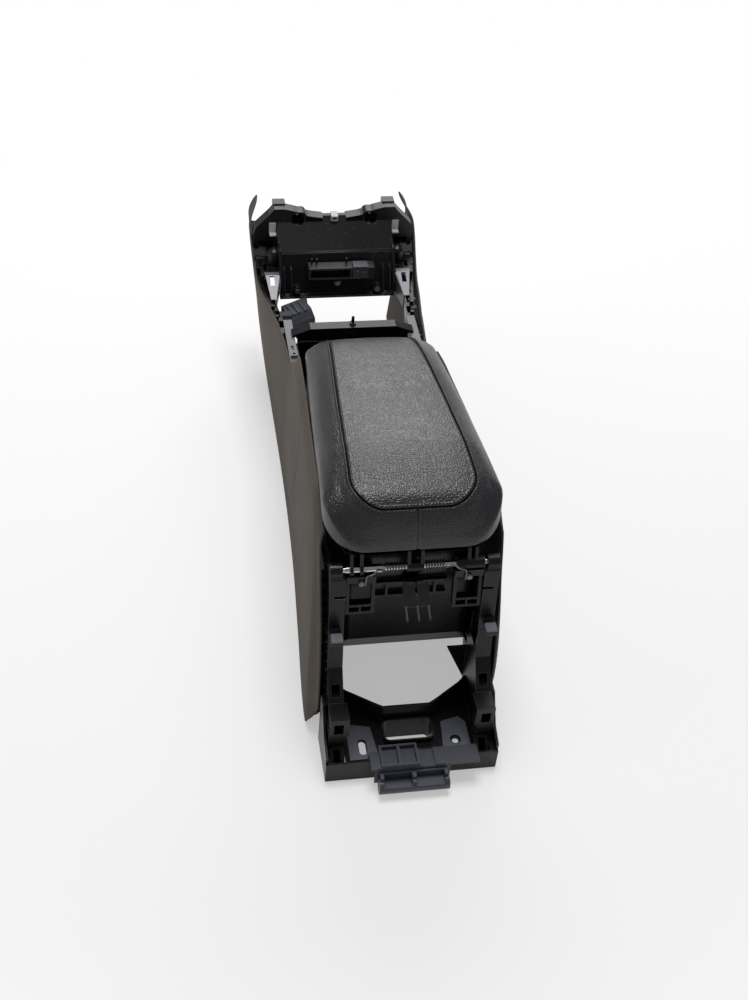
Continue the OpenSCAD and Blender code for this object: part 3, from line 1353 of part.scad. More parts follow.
side_panel_front_left();
side_panel_front_right();
side_panel_rear_left();
side_panel_rear_right();
front_frame();
front_clips();
gusset_plate_left();
gusset_plate_right();
module_carrier();
control_module();
cable_bracket();
front_screws();
bridge_bar();
cup_well_liner();
side_rail_left();
side_rail_right();
storage_bin();
bin_mat();
lid_bumpers();
latch_striker();
rear_post_left();
rear_post_right();
rear_wall();
rear_platform();
floor_plates();
felt_pad_left();
felt_pad_right();
air_duct();
rear_tray();
rear_socket();
hinge_bracket_left();
hinge_bracket_right();
bracket_screws();
hinge_shaft();
hinge_tube_left();
torsion_spring_left();
torsion_spring_right();
rear_hook_plate();
lid_pad();
lid_core();
lid_inner_cover();
lid_hinge_arm_left();
lid_hinge_arm_right();
lid_spring_knuckle();
lid_screws();
latch_lever();
latch_pin();
latch_spring();
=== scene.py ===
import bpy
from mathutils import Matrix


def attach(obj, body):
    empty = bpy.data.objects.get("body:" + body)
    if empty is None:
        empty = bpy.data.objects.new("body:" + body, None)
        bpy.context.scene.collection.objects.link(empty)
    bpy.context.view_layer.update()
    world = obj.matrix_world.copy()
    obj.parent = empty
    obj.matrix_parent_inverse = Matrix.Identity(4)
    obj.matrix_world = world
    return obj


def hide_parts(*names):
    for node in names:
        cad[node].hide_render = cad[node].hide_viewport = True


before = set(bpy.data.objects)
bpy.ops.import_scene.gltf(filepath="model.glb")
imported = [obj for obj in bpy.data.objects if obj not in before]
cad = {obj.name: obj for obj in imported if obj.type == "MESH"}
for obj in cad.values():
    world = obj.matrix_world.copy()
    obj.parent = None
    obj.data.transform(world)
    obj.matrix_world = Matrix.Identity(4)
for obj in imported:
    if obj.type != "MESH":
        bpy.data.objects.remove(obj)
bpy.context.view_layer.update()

import bpy
import numpy as np
from mathutils import Matrix, Vector

scene = bpy.context.scene
scene.view_settings.view_transform = "Standard"

# The photographer's place, in metres: behind the console, above it and a little to
# its left, with a normal lens. Rows are the camera's right, up and back directions.
camera = bpy.data.objects.new("photo_camera", bpy.data.cameras.new("photo_camera"))
camera.data.lens = 50.4
camera.data.sensor_width = 36.0
camera.data.clip_end = 50.0
toward = Matrix(((0.9861, -0.1516, 0.0683), (0.056, 0.6892, 0.7224), (-0.1566, -0.7085, 0.6881)))
camera.matrix_world = Matrix.Translation((-0.3047, -1.4524, 1.4698)) @ toward.transposed().to_4x4()
scene.collection.objects.link(camera)
scene.camera = camera


def linear(hex_colour):
    """An sRGB hex colour as linear red, green, blue and alpha."""
    s = np.array([int(hex_colour[i:i + 2], 16) / 255 for i in (1, 3, 5)])
    return (*np.where(s <= 0.04045, s / 12.92, ((s + 0.055) / 1.055) ** 2.4), 1.0)


def node(tree, kind, settings=None, **sockets):
    """Adds a shader node. Settings are its properties. Each socket, by name or as i and its
    number, takes a value or a link."""
    n = tree.nodes.new(kind)
    for key, value in (settings or {}).items():
        setattr(n, key, value)
    for key, value in sockets.items():
        numbered = key[0] == "i" and key[1:].isdigit()
        socket = n.inputs[int(key[1:]) if numbered else key.replace("_", " ")]
        if isinstance(value, bpy.types.NodeSocket):
            tree.links.new(value, socket)
        else:
            socket.default_value = value
    return n


# A white paper floor that runs past the view. It is matt, so the console leaves
# a soft grey shadow on it, and it fades to plain white away from the console.
near_reach, far_reach, near_glow = 0.6, 1.3, 0.42
half_room, floor_z = 9, -0.0005
floor_paint = bpy.data.materials.new("matt white paper")
floor_paint.use_nodes = True
t = floor_paint.node_tree
t.nodes.clear()
seen = node(t, "ShaderNodeLightPath").outputs
straight = node(t, "ShaderNodeMath", {"operation": "MAXIMUM"}, i0=seen["Is Camera Ray"],
                i1=seen["Is Glossy Ray"])
paper = node(t, "ShaderNodeBsdfDiffuse", Color=linear("#f8f8f8"), Roughness=0.5)
glow = node(t, "ShaderNodeEmission", Color=(1, 1, 1, 1), Strength=1.0)
away = node(t, "ShaderNodeVectorMath", {"operation": "LENGTH"}, i0=node(t, "ShaderNodeTexCoord").outputs["Object"])
fade = node(t, "ShaderNodeMapRange", {"interpolation_type": "SMOOTHSTEP"}, Value=away.outputs["Value"],
            i1=near_reach, i2=far_reach, i3=near_glow, i4=1.0)
lift = node(t, "ShaderNodeMath", {"operation": "MULTIPLY"}, i0=straight.outputs[0], i1=fade.outputs[0])
mixed = node(t, "ShaderNodeMixShader", i0=lift.outputs[0], i1=paper.outputs[0], i2=glow.outputs[0])
node(t, "ShaderNodeOutputMaterial", Surface=mixed.outputs[0])
floor_mesh = bpy.data.meshes.new("floor")
floor_mesh.from_pydata([(x * half_room, y * half_room, floor_z) for x, y in ((-1, -1), (1, -1), (1, 1), (-1, 1))],
                       [], [(0, 1, 2, 3)])
floor_mesh.materials.append(floor_paint)
floor = bpy.data.objects.new("floor", floor_mesh)
scene.collection.objects.link(floor)

# Studio light: an even white room, a wide soft box in front whose mirror image
# lies in the lid's top, a smaller one overhead and a weak one from the left.
room = bpy.data.worlds.new("white room")
room.use_nodes = True
t = room.node_tree
t.nodes.clear()
seen = node(t, "ShaderNodeLightPath").outputs
direct = node(t, "ShaderNodeMath", {"operation": "MAXIMUM"}, i0=seen["Is Camera Ray"],
              i1=seen["Is Transmission Ray"])
even = node(t, "ShaderNodeBackground", Color=(1, 1, 1, 1), Strength=0.26)
white = node(t, "ShaderNodeBackground", Color=(1, 1, 1, 1), Strength=1.0)
mixed = node(t, "ShaderNodeMixShader", i0=direct.outputs[0], i1=even.outputs[0], i2=white.outputs[0])
node(t, "ShaderNodeOutputWorld", Surface=mixed.outputs[0])
scene.world = room
lamps = (("front soft box", (0.35, 2.35, 1.8), 1.8, 42.0), ("left fill", (-2.6, -0.2, 1.3), 1.2, 7.0),
         ("top soft box", (0.0, 0.28, 3.0), 1.2, 50.0))
aim = Vector((0, 0, 0.2))
for name, spot, width, watts in lamps:
    lamp = bpy.data.objects.new(name, bpy.data.lights.new(name, "AREA"))
    lamp.data.size = width
    lamp.data.energy = watts
    facing = (Vector(spot) - aim).to_track_quat("Z", "Y").to_matrix().to_4x4()
    lamp.matrix_world = Matrix.Translation(spot) @ facing
    scene.collection.objects.link(lamp)


# Side panels: thin curved trim panels in fine-grained warm grey ABS, injection
# moulded and clipped to the frames. The skin is a half width at each place and
# height, and its top rolls inwards to a rim.
def principled(name, colour, roughness, grain=0.0, mottle=0.06, wear_and_glint=0.0, metallic=0.0, edge=0.0006,
               speck=0.0, shine=0.5):
    """A moulded or metal surface: base colour with a mottle in patches of about 110 mm, a grain in bump (grain is its
    size in metres), paler edges that are partly rubbing wear and partly a painted highlight standing in for the glints
    that edges catch, and dust in specks of about 6 mm."""
    m = bpy.data.materials.new(name)
    m.use_nodes = True
    t = m.node_tree
    t.nodes.clear()
    place = node(t, "ShaderNodeTexCoord").outputs["Object"]
    slow = node(t, "ShaderNodeTexNoise", Vector=place, Scale=9.0, Detail=4.0, Roughness=0.6)
    shade = node(t, "ShaderNodeMapRange", Value=slow.outputs["Fac"], i1=0.3, i2=0.7, i3=1.0 - mottle, i4=1.0 + mottle)
    base = node(t, "ShaderNodeMix", {"data_type": "RGBA", "blend_type": "MULTIPLY"}, Factor=1.0)
    base.inputs["A"].default_value = linear(colour)
    t.links.new(shade.outputs[0], base.inputs["B"])
    colour_out = base.outputs["Result"]
    soft = node(t, "ShaderNodeBevel", {"samples": 4}, Radius=edge)
    normal = soft.outputs["Normal"]
    # Edges are paled towards a light grey: partly rubbing wear, partly a painted highlight for the glints that edges
    # catch.
    if wear_and_glint:
        true = node(t, "ShaderNodeNewGeometry").outputs["Normal"]
        same = node(t, "ShaderNodeVectorMath", {"operation": "DOT_PRODUCT"}, i0=normal, i1=true)
        rub_and_glint = node(t, "ShaderNodeMapRange", Value=same.outputs["Value"], i1=0.995, i2=0.82, i3=0.0, i4=wear_and_glint)
        worn_and_lit = node(t, "ShaderNodeMix", {"data_type": "RGBA"}, Factor=rub_and_glint.outputs[0])
        t.links.new(colour_out, worn_and_lit.inputs["A"])
        worn_and_lit.inputs["B"].default_value = linear("#8d8d90")
        colour_out = worn_and_lit.outputs["Result"]
    if speck:
        dust = node(t, "ShaderNodeTexNoise", Vector=place, Scale=160.0, Detail=3.0)
        few = node(t, "ShaderNodeMapRange", Value=dust.outputs["Fac"], i1=0.62, i2=0.72, i3=0.0, i4=speck)
        dusty = node(t, "ShaderNodeMix", {"data_type": "RGBA"}, Factor=few.outputs[0])
        t.links.new(colour_out, dusty.inputs["A"])
        dusty.inputs["B"].default_value = linear("#a8a49e")
        colour_out = dusty.outputs["Result"]
    if grain:
        fine = node(t, "ShaderNodeTexNoise", Vector=place, Scale=1.0 / grain, Detail=2.0)
        bump = node(t, "ShaderNodeBump", Strength=0.25, Distance=grain * 0.2, Height=fine.outputs["Fac"], Normal=normal)
        normal = bump.outputs[0]
    gloss = node(t, "ShaderNodeMapRange", Value=slow.outputs["Fac"], i1=0.3, i2=0.7, i3=roughness - 0.05,
                 i4=roughness + 0.06)
    surface = node(t, "ShaderNodeBsdfPrincipled", Base_Color=colour_out, Roughness=gloss.outputs[0],
                   Metallic=metallic, Specular_IOR_Level=shine, Normal=normal)
    node(t, "ShaderNodeOutputMaterial", Surface=surface.outputs[0])
    return m


def curve_through(stations, place):
    """A smooth curve through (place, value) stations: cubic Hermite pieces whose slope at
    a station is that of the chord between its neighbours."""
    p, v = np.array(stations, float).T
    last = len(p) - 1
    low, high = np.maximum(np.arange(last + 1) - 1, 0), np.minimum(np.arange(last + 1) + 1, last)
    slope = (v[high] - v[low]) / (p[high] - p[low])
    q = np.clip(place, p[0], p[-1])
    i = np.clip(np.searchsorted(p, q, "right") - 1, 0, last - 1)
    h = p[i + 1] - p[i]
    s = (q - p[i]) / h
    return (v[i] * (1 + 2 * s) * (1 - s) ** 2 + slope[i] * h * s * (1 - s) ** 2
            + v[i + 1] * s * s * (3 - 2 * s) + slope[i + 1] * h * s * s * (s - 1))


def ease(s):
    """0 to 1 with flat ends: 3s^2 - 2s^3."""
    c = np.clip(s, 0, 1)
    return c * c * (3 - 2 * c)


def grid_faces(rows, cols, closed=False):
    """Quads over a grid of rows by cols points, wrapped round its columns if closed."""
    i, j = np.meshgrid(np.arange(rows - 1), np.arange(cols if closed else cols - 1), indexing="ij")
    a, k = i * cols + j, i * cols + (j + 1) % cols
    return np.stack([a, k, k + cols, a + cols], -1).reshape(-1, 4)


def new_piece(name, points, faces, body, material, smooth=True):
    """Makes a mesh piece from points in millimetres and rides it on a body."""
    mesh = bpy.data.meshes.new(name)
    metres = np.asarray(points, float).reshape(-1, 3) * 0.001
    mesh.from_pydata(metres.tolist(), [], [list(map(int, f)) for f in faces])
    mesh.polygons.foreach_set("use_smooth", [smooth] * len(mesh.polygons))
    mesh.materials.append(material)
    piece = bpy.data.objects.new(name, mesh)
    scene.collection.objects.link(piece)
    mesh.update()
    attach(piece, body)
    return piece


front_y, hinge_y, hinge_z = 475.0, -333.0, 270.0
tilt = np.radians(6.5)
lid_l, lid_end, lid_z = 393.0, 196.5, 323.0
lid_y = hinge_y + 1 + lid_end * np.cos(tilt)
lid_front_y = lid_y + lid_end * np.cos(tilt)
rear_drop, drop_l = 45.0, 97.0


def lid_plane(y):
    """Height of the plane of the lid's lower edge."""
    return lid_z - np.tan(tilt) * (y - lid_y)


def lid_edge(y):
    """Height of the lid's lower edge: its plane, dropping at the rear and a little at the front."""
    behind = rear_drop * ease((lid_y - lid_end + drop_l - y) / drop_l)
    return lid_plane(y) - behind - 5 * ease((y - lid_front_y + 60) / 60)


# half widths and heights at places along the console, and the panels' edges by height
dip_y = front_y - 140
shoulder = [(hinge_y - 67, 108), (hinge_y + 80, 114), (lid_front_y - 58, 104.5), (lid_front_y + 44, 101.5),
            (lid_front_y + 149, 110), (dip_y - 29, 123), (dip_y + 64, 131), (front_y, 130)]
foot = [(hinge_y - 67, 121), (hinge_y + 3, 124), (hinge_y + 138, 116), (hinge_y + 279, 108), (lid_front_y + 62, 104),
        (front_y, 105)]
front_rim = [(lid_front_y + 46, 232), (lid_front_y + 106, 237), (dip_y - 79, 226), (dip_y - 29, 217), (dip_y + 5, 216),
             (dip_y + 40, 230), (dip_y + 84, 262), (front_y, 285)]
step_front, step_rear = lid_front_y + 46, lid_front_y - 13


def rim_at(y):
    """Height of the panel's rim: a curve ahead of the lid, a ramp, then the lid's edge less a gap."""
    high = lid_edge(step_rear) - 3
    ramp = high + (front_rim[0][1] - high) * np.clip((y - step_rear) / (step_front - step_rear), 0, 1)
    return np.where(y >= step_front, curve_through(front_rim, y), np.where(y > step_rear, ramp, lid_edge(y) - 3))


seam_line = [(0, lid_front_y - 4), (31, lid_front_y - 25), (143, lid_front_y - 96), (224, lid_front_y - 131),
             (320, lid_front_y - 121)]
rear_line = [(0, hinge_y - 12), (25, hinge_y - 26), (57, hinge_y - 33), (103, hinge_y - 31), (150, hinge_y - 22),
             (200, hinge_y - 9), (240, hinge_y + 7), (270, hinge_y + 18), (300, hinge_y + 33)]
edge_half, seam_gap = 112.5, 0.3


def skin(y, z):
    """Half width: from the foot curve to the shoulder curve with height, less a roll at the rim;
    above the foot the rear edge curls in to the posts."""
    tall = np.where(y > step_front, rim_at(y), np.maximum(rim_at(y), lid_z - 20))
    up = np.minimum(1, z / tall)
    near_rim = np.maximum(0, (z - rim_at(y) + 26) / 26)
    roll = 6 * ease((step_front - y) / 60) + 15 * ease((y - front_y + 56) / 56)
    lean = 1 + 1.2 * ease((step_front + 40 - y) / 120)
    wide = curve_through(foot, y) + (curve_through(shoulder, y) - curve_through(foot, y)) * np.maximum(up, 0) ** lean
    wide = wide - roll * near_rim ** 2
    curl = ease((curve_through(rear_line, z) + 30 - y) / 30) * ease((z - 12) / 42)
    return wide - np.maximum(0, wide - edge_half) * curl


front_line = [(0, front_y - 22), (60, front_y - 20), (150, front_y - 21), (220, front_y - 17), (260, front_y - 10),
              (300, front_y)]


def panel_points(s, r, part):
    """Skin points of a panel at shares s along it and r up it, both as arrays: y runs between the
    edge lines at that height, and z from the lower edge to the rim."""
    h = r * 300
    if part == "front":
        ahead = curve_through(front_line, h)
        y = ahead - s * (ahead - curve_through(seam_line, h) - seam_gap)
        low = 60 * ease((y - front_y + 127) / 130)
    else:
        seam_y = curve_through(seam_line, h)
        y = seam_y - seam_gap + s * (curve_through(rear_line, h) - seam_y + seam_gap)
        low = np.zeros_like(y)
    z = low + r * (rim_at(y) - low)
    return y, z


# The grain scatters the light, so the warm grey looks matt, without a clear reflection.
warm_left = principled("grained warm grey ABS, left", "#514a43", 0.68, grain=0.0014, mottle=0.05, wear_and_glint=0.2,
                       edge=0.0008, shine=0.15)
# The right panels take a darker copy of the same warm grey: painted shade on the right side.
shaded_warm_right = principled("grained warm grey ABS, right, with painted shade", "#45403b", 0.68, grain=0.0014, mottle=0.05, wear_and_glint=0.2,
                        edge=0.0008, shine=0.15)
panel_wall, edge_round = 0.0028, 0.0008
for part, count in (("front", 150), ("rear", 110)):
    s, r = np.meshgrid(np.linspace(0, 1, count) ** 1.2, np.linspace(0, 1, 44), indexing="ij")
    y, z = panel_points(s, r, part)
    for side, sign, paint in (("left", -1, warm_left), ("right", 1, shaded_warm_right)):
        cad_name = f"side_panel_{part}_{side}"
        points = np.stack([sign * skin(y, z), y, z], -1)
        faces = grid_faces(*s.shape)
        panel = new_piece(f"trim_{part}_{side}", points, faces[:, ::sign], "console", paint)
        wall = panel.modifiers.new("wall", "SOLIDIFY")
        wall.thickness = panel_wall
        wall.offset = -1
        wall.use_even_offset = False
        edge = panel.modifiers.new("edge", "BEVEL")
        edge.width = edge_round
        edge.segments = 2
        edge.limit_method = "ANGLE"
        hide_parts(cad_name)

# Front frame, gussets, rails, bin and rear frame: glass-filled black polypropylene,
# injection moulded. Close up it shows a satin skin with faint flow marks and dust.
# Its paler edges are a painted highlight for edge glints, with some rubbing wear.
black_moulding = principled("moulded black polypropylene", "#0c0c0e", 0.31, grain=0.0012, mottle=0.18, wear_and_glint=0.4,
                            edge=0.0008, speck=0.04, shine=0.28)
# Talc dulls the skin of the dark grey, and the recycled and light greys show scuffs and dust; the paler edges on all of
# them are partly a painted highlight.
dark_moulding = principled("talc-filled dark grey polypropylene", "#18181b", 0.4, grain=0.0012, mottle=0.12,
                           wear_and_glint=0.2, speck=0.05, shine=0.35)
blue_moulding = principled("recycled blue grey polypropylene", "#343741", 0.42, grain=0.0013, mottle=0.10, wear_and_glint=0.3,
                           speck=0.06)
grey_moulding = principled("light grey polypropylene", "#626266", 0.5, grain=0.0013, mottle=0.10, wear_and_glint=0.2,
                           speck=0.06)
# Zinc plating is a dull silver with cloudy patches.
zinc = principled("zinc-plated sheet steel", "#717175", 0.48, mottle=0.12, metallic=0.8, edge=0.0004)


def dress(material, *names):
    """Gives CAD nodes a material."""
    for name in names:
        cad[name].data.materials.clear()
        cad[name].data.materials.append(material)


dress(black_moulding, "front_frame", "bridge_bar", "cup_well_liner", "storage_bin", "rear_post_left",
      "rear_post_right", "rear_wall", "rear_platform", "air_duct", "hinge_bracket_left", "hinge_bracket_right",
      "lid_core", "lid_hinge_arm_left", "lid_hinge_arm_right", "lid_spring_knuckle", "latch_lever")
dress(dark_moulding, "module_carrier", "rear_hook_plate")
dress(blue_moulding, "cable_bracket", "rear_tray", "rear_socket", "control_module")
dress(grey_moulding, "side_rail_left", "side_rail_right")
dress(zinc, "gusset_plate_left", "gusset_plate_right", "front_screws", "bracket_screws", "lid_screws",
      "latch_striker", "latch_pin", "latch_spring")
# Undyed nylon is a milky white with a soft sheen; phosphated plate is a dull blue grey.
nylon = principled("natural nylon clips", "#a9a9a8", 0.5, mottle=0.05)
dress(nylon, "front_clips")
plate = principled("dull phosphated steel plate", "#5b5e66", 0.45, mottle=0.15, metallic=0.6, edge=0.0004)
dress(plate, "floor_plates")

# Flanges inside the trim: black ribbed strips moulded on the inner sides of the panels,
# one under the front rim that meets the frame, one behind the rear edge at the post.
flange_wall, rib_h, skin_gap = 0.0018, 2.2, 2.2
frame_half, post_half = 104, 103.4


def flange_strip(name, inner, outer, rib_every):
    """A strip between two edges of equal length, with a low rib at every few places; both edges
    are rows of points on the left side, and the right one is its mirror image."""
    rise = np.where((np.arange(len(inner)) // 2) % rib_every == 0, rib_h, 0.0)[:, None]
    along = np.gradient(inner, axis=0)
    up = np.cross(along, outer - inner)
    up /= np.linalg.norm(up, axis=1, keepdims=True)
    up *= np.sign(up[:, 2:3] - up[:, 1:2])
    grid = np.stack([inner + (outer - inner) * q + up * rise * (q not in (0, 1)) for q in (0, 0.2, 0.8, 1)], 1)
    faces = grid_faces(len(inner), 4)
    for side, sign in (("left", 1), ("right", -1)):
        strip = new_piece(f"{name}_{side}", grid * [sign, 1, 1], faces[:, ::sign], "console", black_moulding,
                          smooth=False)
        wall = strip.modifiers.new("wall", "SOLIDIFY")
        wall.thickness = flange_wall
        wall.offset = 0


along_y = np.linspace(lid_front_y + 120, front_y - 32, 90)
rim_z = rim_at(along_y) - 16
flange_strip("front_rim_flange", np.stack([-np.maximum(frame_half, skin(along_y, rim_z) - 24), along_y, rim_z - 3], -1),
             np.stack([-skin(along_y, rim_z) + skin_gap, along_y, rim_z], -1), 5)
up_z = np.linspace(6, 250, 100)
edge_y = curve_through(rear_line, up_z) + 9
flange_strip("rear_edge_flange", np.stack([-np.full(len(up_z), post_half), edge_y + 5, up_z], -1),
             np.stack([-skin(edge_y, up_z) + skin_gap, edge_y, up_z], -1), 3)

# Rubber mat in the bin and the buffers under the lid: moulded nitrile rubber, laid in
# and pressed in by hand. It is matt black and holds dust.
rubber = principled("moulded nitrile rubber", "#161618", 0.78, grain=0.0016, mottle=0.12, speck=0.15)
dress(rubber, "bin_mat", "lid_bumpers")

# Felt pads on the posts: pressed grey wool felt, glued on to stop rattles. The fibres
# leave it with no shine and a slightly uneven grey.
felt = principled("pressed grey felt", "#6a6d76", 0.95, grain=0.0011, mottle=0.2)
dress(felt, "felt_pad_left", "felt_pad_right")

# Hinge shaft and the tube on its left half: ground silver steel, pushed through both
# posts. It is bright, with one long highlight along its length.
ground_steel = principled("ground silver steel", "#c4c4c8", 0.2, mottle=0.05, metallic=1.0, edge=0.0004)
dress(ground_steel, "hinge_shaft", "hinge_tube_left")


# Torsion springs: oiled music wire wound on the shaft, with long legs that hook
# over the brackets. A round wire is carried along the wound path.
def tube(path, radius, sides=10):
    """Points and faces of a round wire: a circle in the plane across the path at each point,
    turned as little as possible from one point to the next, with a fan at each end."""
    path = np.asarray(path, float)
    along = np.gradient(path, axis=0)
    along /= np.linalg.norm(along, axis=1, keepdims=True)
    across = np.cross(along, [0.0, 0.0, 1.0])
    steep = np.linalg.norm(across, axis=1) < 0.2
    across[steep] = np.cross(along[steep], [0.0, 1.0, 0.0])
    across /= np.linalg.norm(across, axis=1, keepdims=True)
    other = np.cross(along, across)
    turn = np.linspace(0, 2 * np.pi, sides, endpoint=False)
    rings = (path[:, None] + radius * (np.cos(turn)[None, :, None] * across[:, None]
             + np.sin(turn)[None, :, None] * other[:, None]))
    count = len(path)
    faces = grid_faces(count, sides, closed=True).tolist()
    faces += [list(range(sides))[::-1], [(count - 1) * sides + k for k in range(sides)]]
    return rings.reshape(-1, 3), faces


# Oil leaves the wire a darker grey than the shaft, with small sharp highlights.
wire_steel = principled("oiled music wire", "#6c6c70", 0.3, mottle=0.1, metallic=0.9, edge=0.0002)
wire_d, turns, wound, start_x = 2.0, 7, 26.0, 12.0
shaft_r, coil_gap = 4.0, 0.5
coil_r = shaft_r + coil_gap + wire_d / 2
turn = np.linspace(0, 2 * np.pi * turns, turns * 28 + 1)
coil = np.stack([start_x + wire_d / 2 + (wound - wire_d) * turn / turn[-1], hinge_y - coil_r * np.cos(turn),
                 hinge_z + coil_r * np.sin(turn)], -1)
sleeve_x, back_y = 50.0, hinge_y - 9 - 2 - wire_d
knots = np.array([coil[-1], (start_x + wound + 2, hinge_y - coil_r - 1, hinge_z + 2),
                  (start_x + wound + 8, hinge_y - coil_r - 2, hinge_z + 4), (sleeve_x + 3, back_y - 0.2, hinge_z + 3),
                  (sleeve_x + 9, back_y - 0.4, hinge_z + 1), (sleeve_x + 10.5, back_y - 0.6, hinge_z - 5),
                  (sleeve_x + 10.5, back_y - 0.8, hinge_z - 15)])
reach = np.r_[0, np.cumsum(np.linalg.norm(np.diff(knots, axis=0), axis=1))]
walk = np.linspace(0, reach[-1], 46)[1:]
leg = np.stack([curve_through(np.stack([reach, knots[:, k]], -1), walk) for k in range(3)], -1)
for side, sign in (("left", -1), ("right", 1)):
    points, faces = tube(np.r_[coil, leg], wire_d / 2)
    points[:, 0] *= sign
    faces = faces if sign > 0 else [f[::-1] for f in faces]
    spring = new_piece(f"music_wire_spring_{side}", points, faces, "console", wire_steel)
    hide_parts(f"torsion_spring_{side}")


# Armrest pad: cut foam on a moulded core, covered in pebbled leather. The cover is
# sewn from a top panel, a side band and a rear centre seam; the channel round the
# top panel runs out over the front edge. Each ring is an inset outline of the lid.
side_roll = [(0, 33), (2.5, 26), (8, 19.5), (15, 13), (22, 8), (28, 4.6), (34, 3), (44, 1.6), (58, 0.6), (90, 0)]
front_roll = [(0, 39), (0.6, 34), (1.4, 30), (2.4, 27), (4.4, 22.5), (6.4, 20.2), (12, 16.4), (20, 12.6), (36, 7.5),
              (56, 4), (78, 1.8), (110, 0)]
rear_roll = [(0, 79), (1.5, 70), (4.5, 60), (8.5, 47), (12, 38), (14.5, 33), (18, 28), (30, 18), (42, 12.4), (54, 8.5),
             (84, 3), (110, 0)]
pad_h, front_half, rear_half, front_corner, rear_corner = 34.0, 90, 109, 28, 50
corner_n, end_n, side_n = 8, 16, 50


def lid_ring(s, f, b):
    """Outline of the lid inset by s, f and b at its sides, front and rear, from the front left
    corner's middle clockwise seen from below; columns are x, y and the share that faces sideways."""
    rf, rr = max(5.0, front_corner - s), rear_corner - 0.35 * s
    wf, wr, yf, yr = front_half - s, rear_half - s, lid_end - f, -lid_end + b
    a = np.linspace(0, np.pi / 2, 2 * corner_n + 1)
    q = 1 - (1 - np.linspace(0, 1, side_n + 1)[1:-1]) ** 1.25
    ahead = np.stack([wf - rf + rf * np.sin(a), yf - rf + rf * np.cos(a), np.sin(a) ** 2, a * 0 + 1], -1)
    side = np.stack([wf + (wr - wf) * q + 1.5 * np.sin(np.pi * q), yf - rf + (yr + rr - yf + rf) * q, q * 0 + 1,
                     np.where(q < 0.5, 1, -1)], -1)
    behind = np.stack([wr - rr + rr * np.cos(a), yr + rr - rr * np.sin(a), np.cos(a) ** 2, a * 0 - 1], -1)
    half = np.linspace(0, 1, end_n // 2 + 1)
    first = np.stack([(wf - rf) * half[:-1] ** 2, half[:-1] * 0 + yf, half[:-1] * 0, half[:-1] * 0 + 1], -1)
    last = np.stack([(wr - rr) * (1 - half[1:]) ** 2, half[1:] * 0 + yr, half[1:] * 0, half[1:] * 0 - 1], -1)
    right = np.r_[first, ahead, side, behind, last]
    left_side = right[1:-1][::-1] * [-1, 1, 1, 1]
    return np.r_[right, left_side]


def crown(x, y):
    """Height of the pad's top: its crown less what the side, front and rear have rolled down."""
    wide = front_half + (rear_half - front_half) * (lid_end - y) / lid_l
    return (pad_h - curve_through(side_roll, wide - np.abs(x)) - curve_through(front_roll, lid_end - y)
            - curve_through(rear_roll, lid_end + y))


def ring_height(ring, s, f, b, k):
    """Height round a ring: the lid's edge at k = 0, the side and end profiles on the wall, the crown above."""
    x, y, share, end = ring.T
    edge = lid_edge(lid_y + y * np.cos(tilt)) - lid_plane(lid_y + y * np.cos(tilt))
    if k == 0:
        return edge
    end_z = pad_h - np.where(end > 0, curve_through(front_roll, f), curve_through(rear_roll, b))
    roll = curve_through(front_roll, lid_end - y) + curve_through(rear_roll, lid_end + y)
    side_z = np.maximum(edge + 4 * k, pad_h - curve_through(side_roll, s) - roll * min(1, k / 4))
    w = float(ease((k - 3) / 3))
    return (1 - w) * (share * side_z + (1 - share) * end_z) + w * crown(x, y)


stations = np.array([(0, 0, 0), (2.5, 1.5, 0.6), (8, 4.5, 1.4), (15, 8.5, 2.4), (22, 12, 3.4), (28, 14.5, 4.4),
                     (32, 16, 5.2), (35.2, 18, 6.4), (44, 28, 13), (57, 50, 36), (72, 84, 75)], float)
steps = np.r_[np.linspace(0, 6, 31)[:-1], np.linspace(6, 7, 17)[:-1], np.linspace(7, 8, 11)[:-1], np.linspace(8, 10, 9)]
ring_at = [curve_through(np.stack([np.arange(11), stations[:, c]], -1), steps) for c in range(3)]
rings = []
for k, s, b, f in zip(steps, *ring_at):
    ring = lid_ring(s, f, b)
    z = ring_height(ring, s, f, b, 0 if k == 0 else max(k, 0.2))
    rings.append(np.stack([ring[:, 0], ring[:, 1], z], -1))
outer = np.array(rings)
around = outer.shape[1]


def patch(edge_ring, height):
    """Fills a ring with a grid: each inner point mixes its opposite edge points (a Coons patch)."""
    corner = end_n // 2 + corner_n
    n_end, n_side = 2 * corner, around // 2 - 2 * corner
    idx = np.arange(around)
    front_i = idx[np.arange(-corner, corner + 1) % around]
    right_i = idx[corner:corner + n_side + 1]
    rear_i = idx[np.arange(around // 2 + corner, around // 2 - corner - 1, -1)]
    left_i = idx[(-corner - np.arange(n_side + 1)) % around]
    u, v = np.meshgrid(np.linspace(0, 1, n_end + 1), np.linspace(0, 1, n_side + 1), indexing="ij")
    u, v = u[..., None], v[..., None]
    ahead, behind = edge_ring[front_i], edge_ring[rear_i]
    flat = ((1 - v) * ahead[:, None] + v * behind[:, None] + (1 - u) * edge_ring[left_i][None]
            + u * edge_ring[right_i][None]
            - ((1 - u) * (1 - v) * ahead[0] + u * (1 - v) * ahead[-1]
               + (1 - u) * v * behind[0] + u * v * behind[-1]))
    inner = flat[1:-1, 1:-1]
    inner[..., 2] = height(inner[..., 0], inner[..., 1])
    number = np.full(u.shape[:2], -1)
    number[:, 0], number[:, -1], number[0], number[-1] = front_i, rear_i, left_i, right_i
    number[1:-1, 1:-1] = around + np.arange(inner.shape[0] * inner.shape[1]).reshape(inner.shape[:2])
    a, b, c, d = number[:-1, :-1], number[1:, :-1], number[1:, 1:], number[:-1, 1:]
    return inner.reshape(-1, 3), np.stack([a, d, c, b], -1).reshape(-1, 4)


def pad_roof(x, y):
    """The hollow under the pad: its roof is 10 above the edge plane, and steps down at the rear."""
    return -6 + 16 * ease((y + lid_end - 42) / 5)


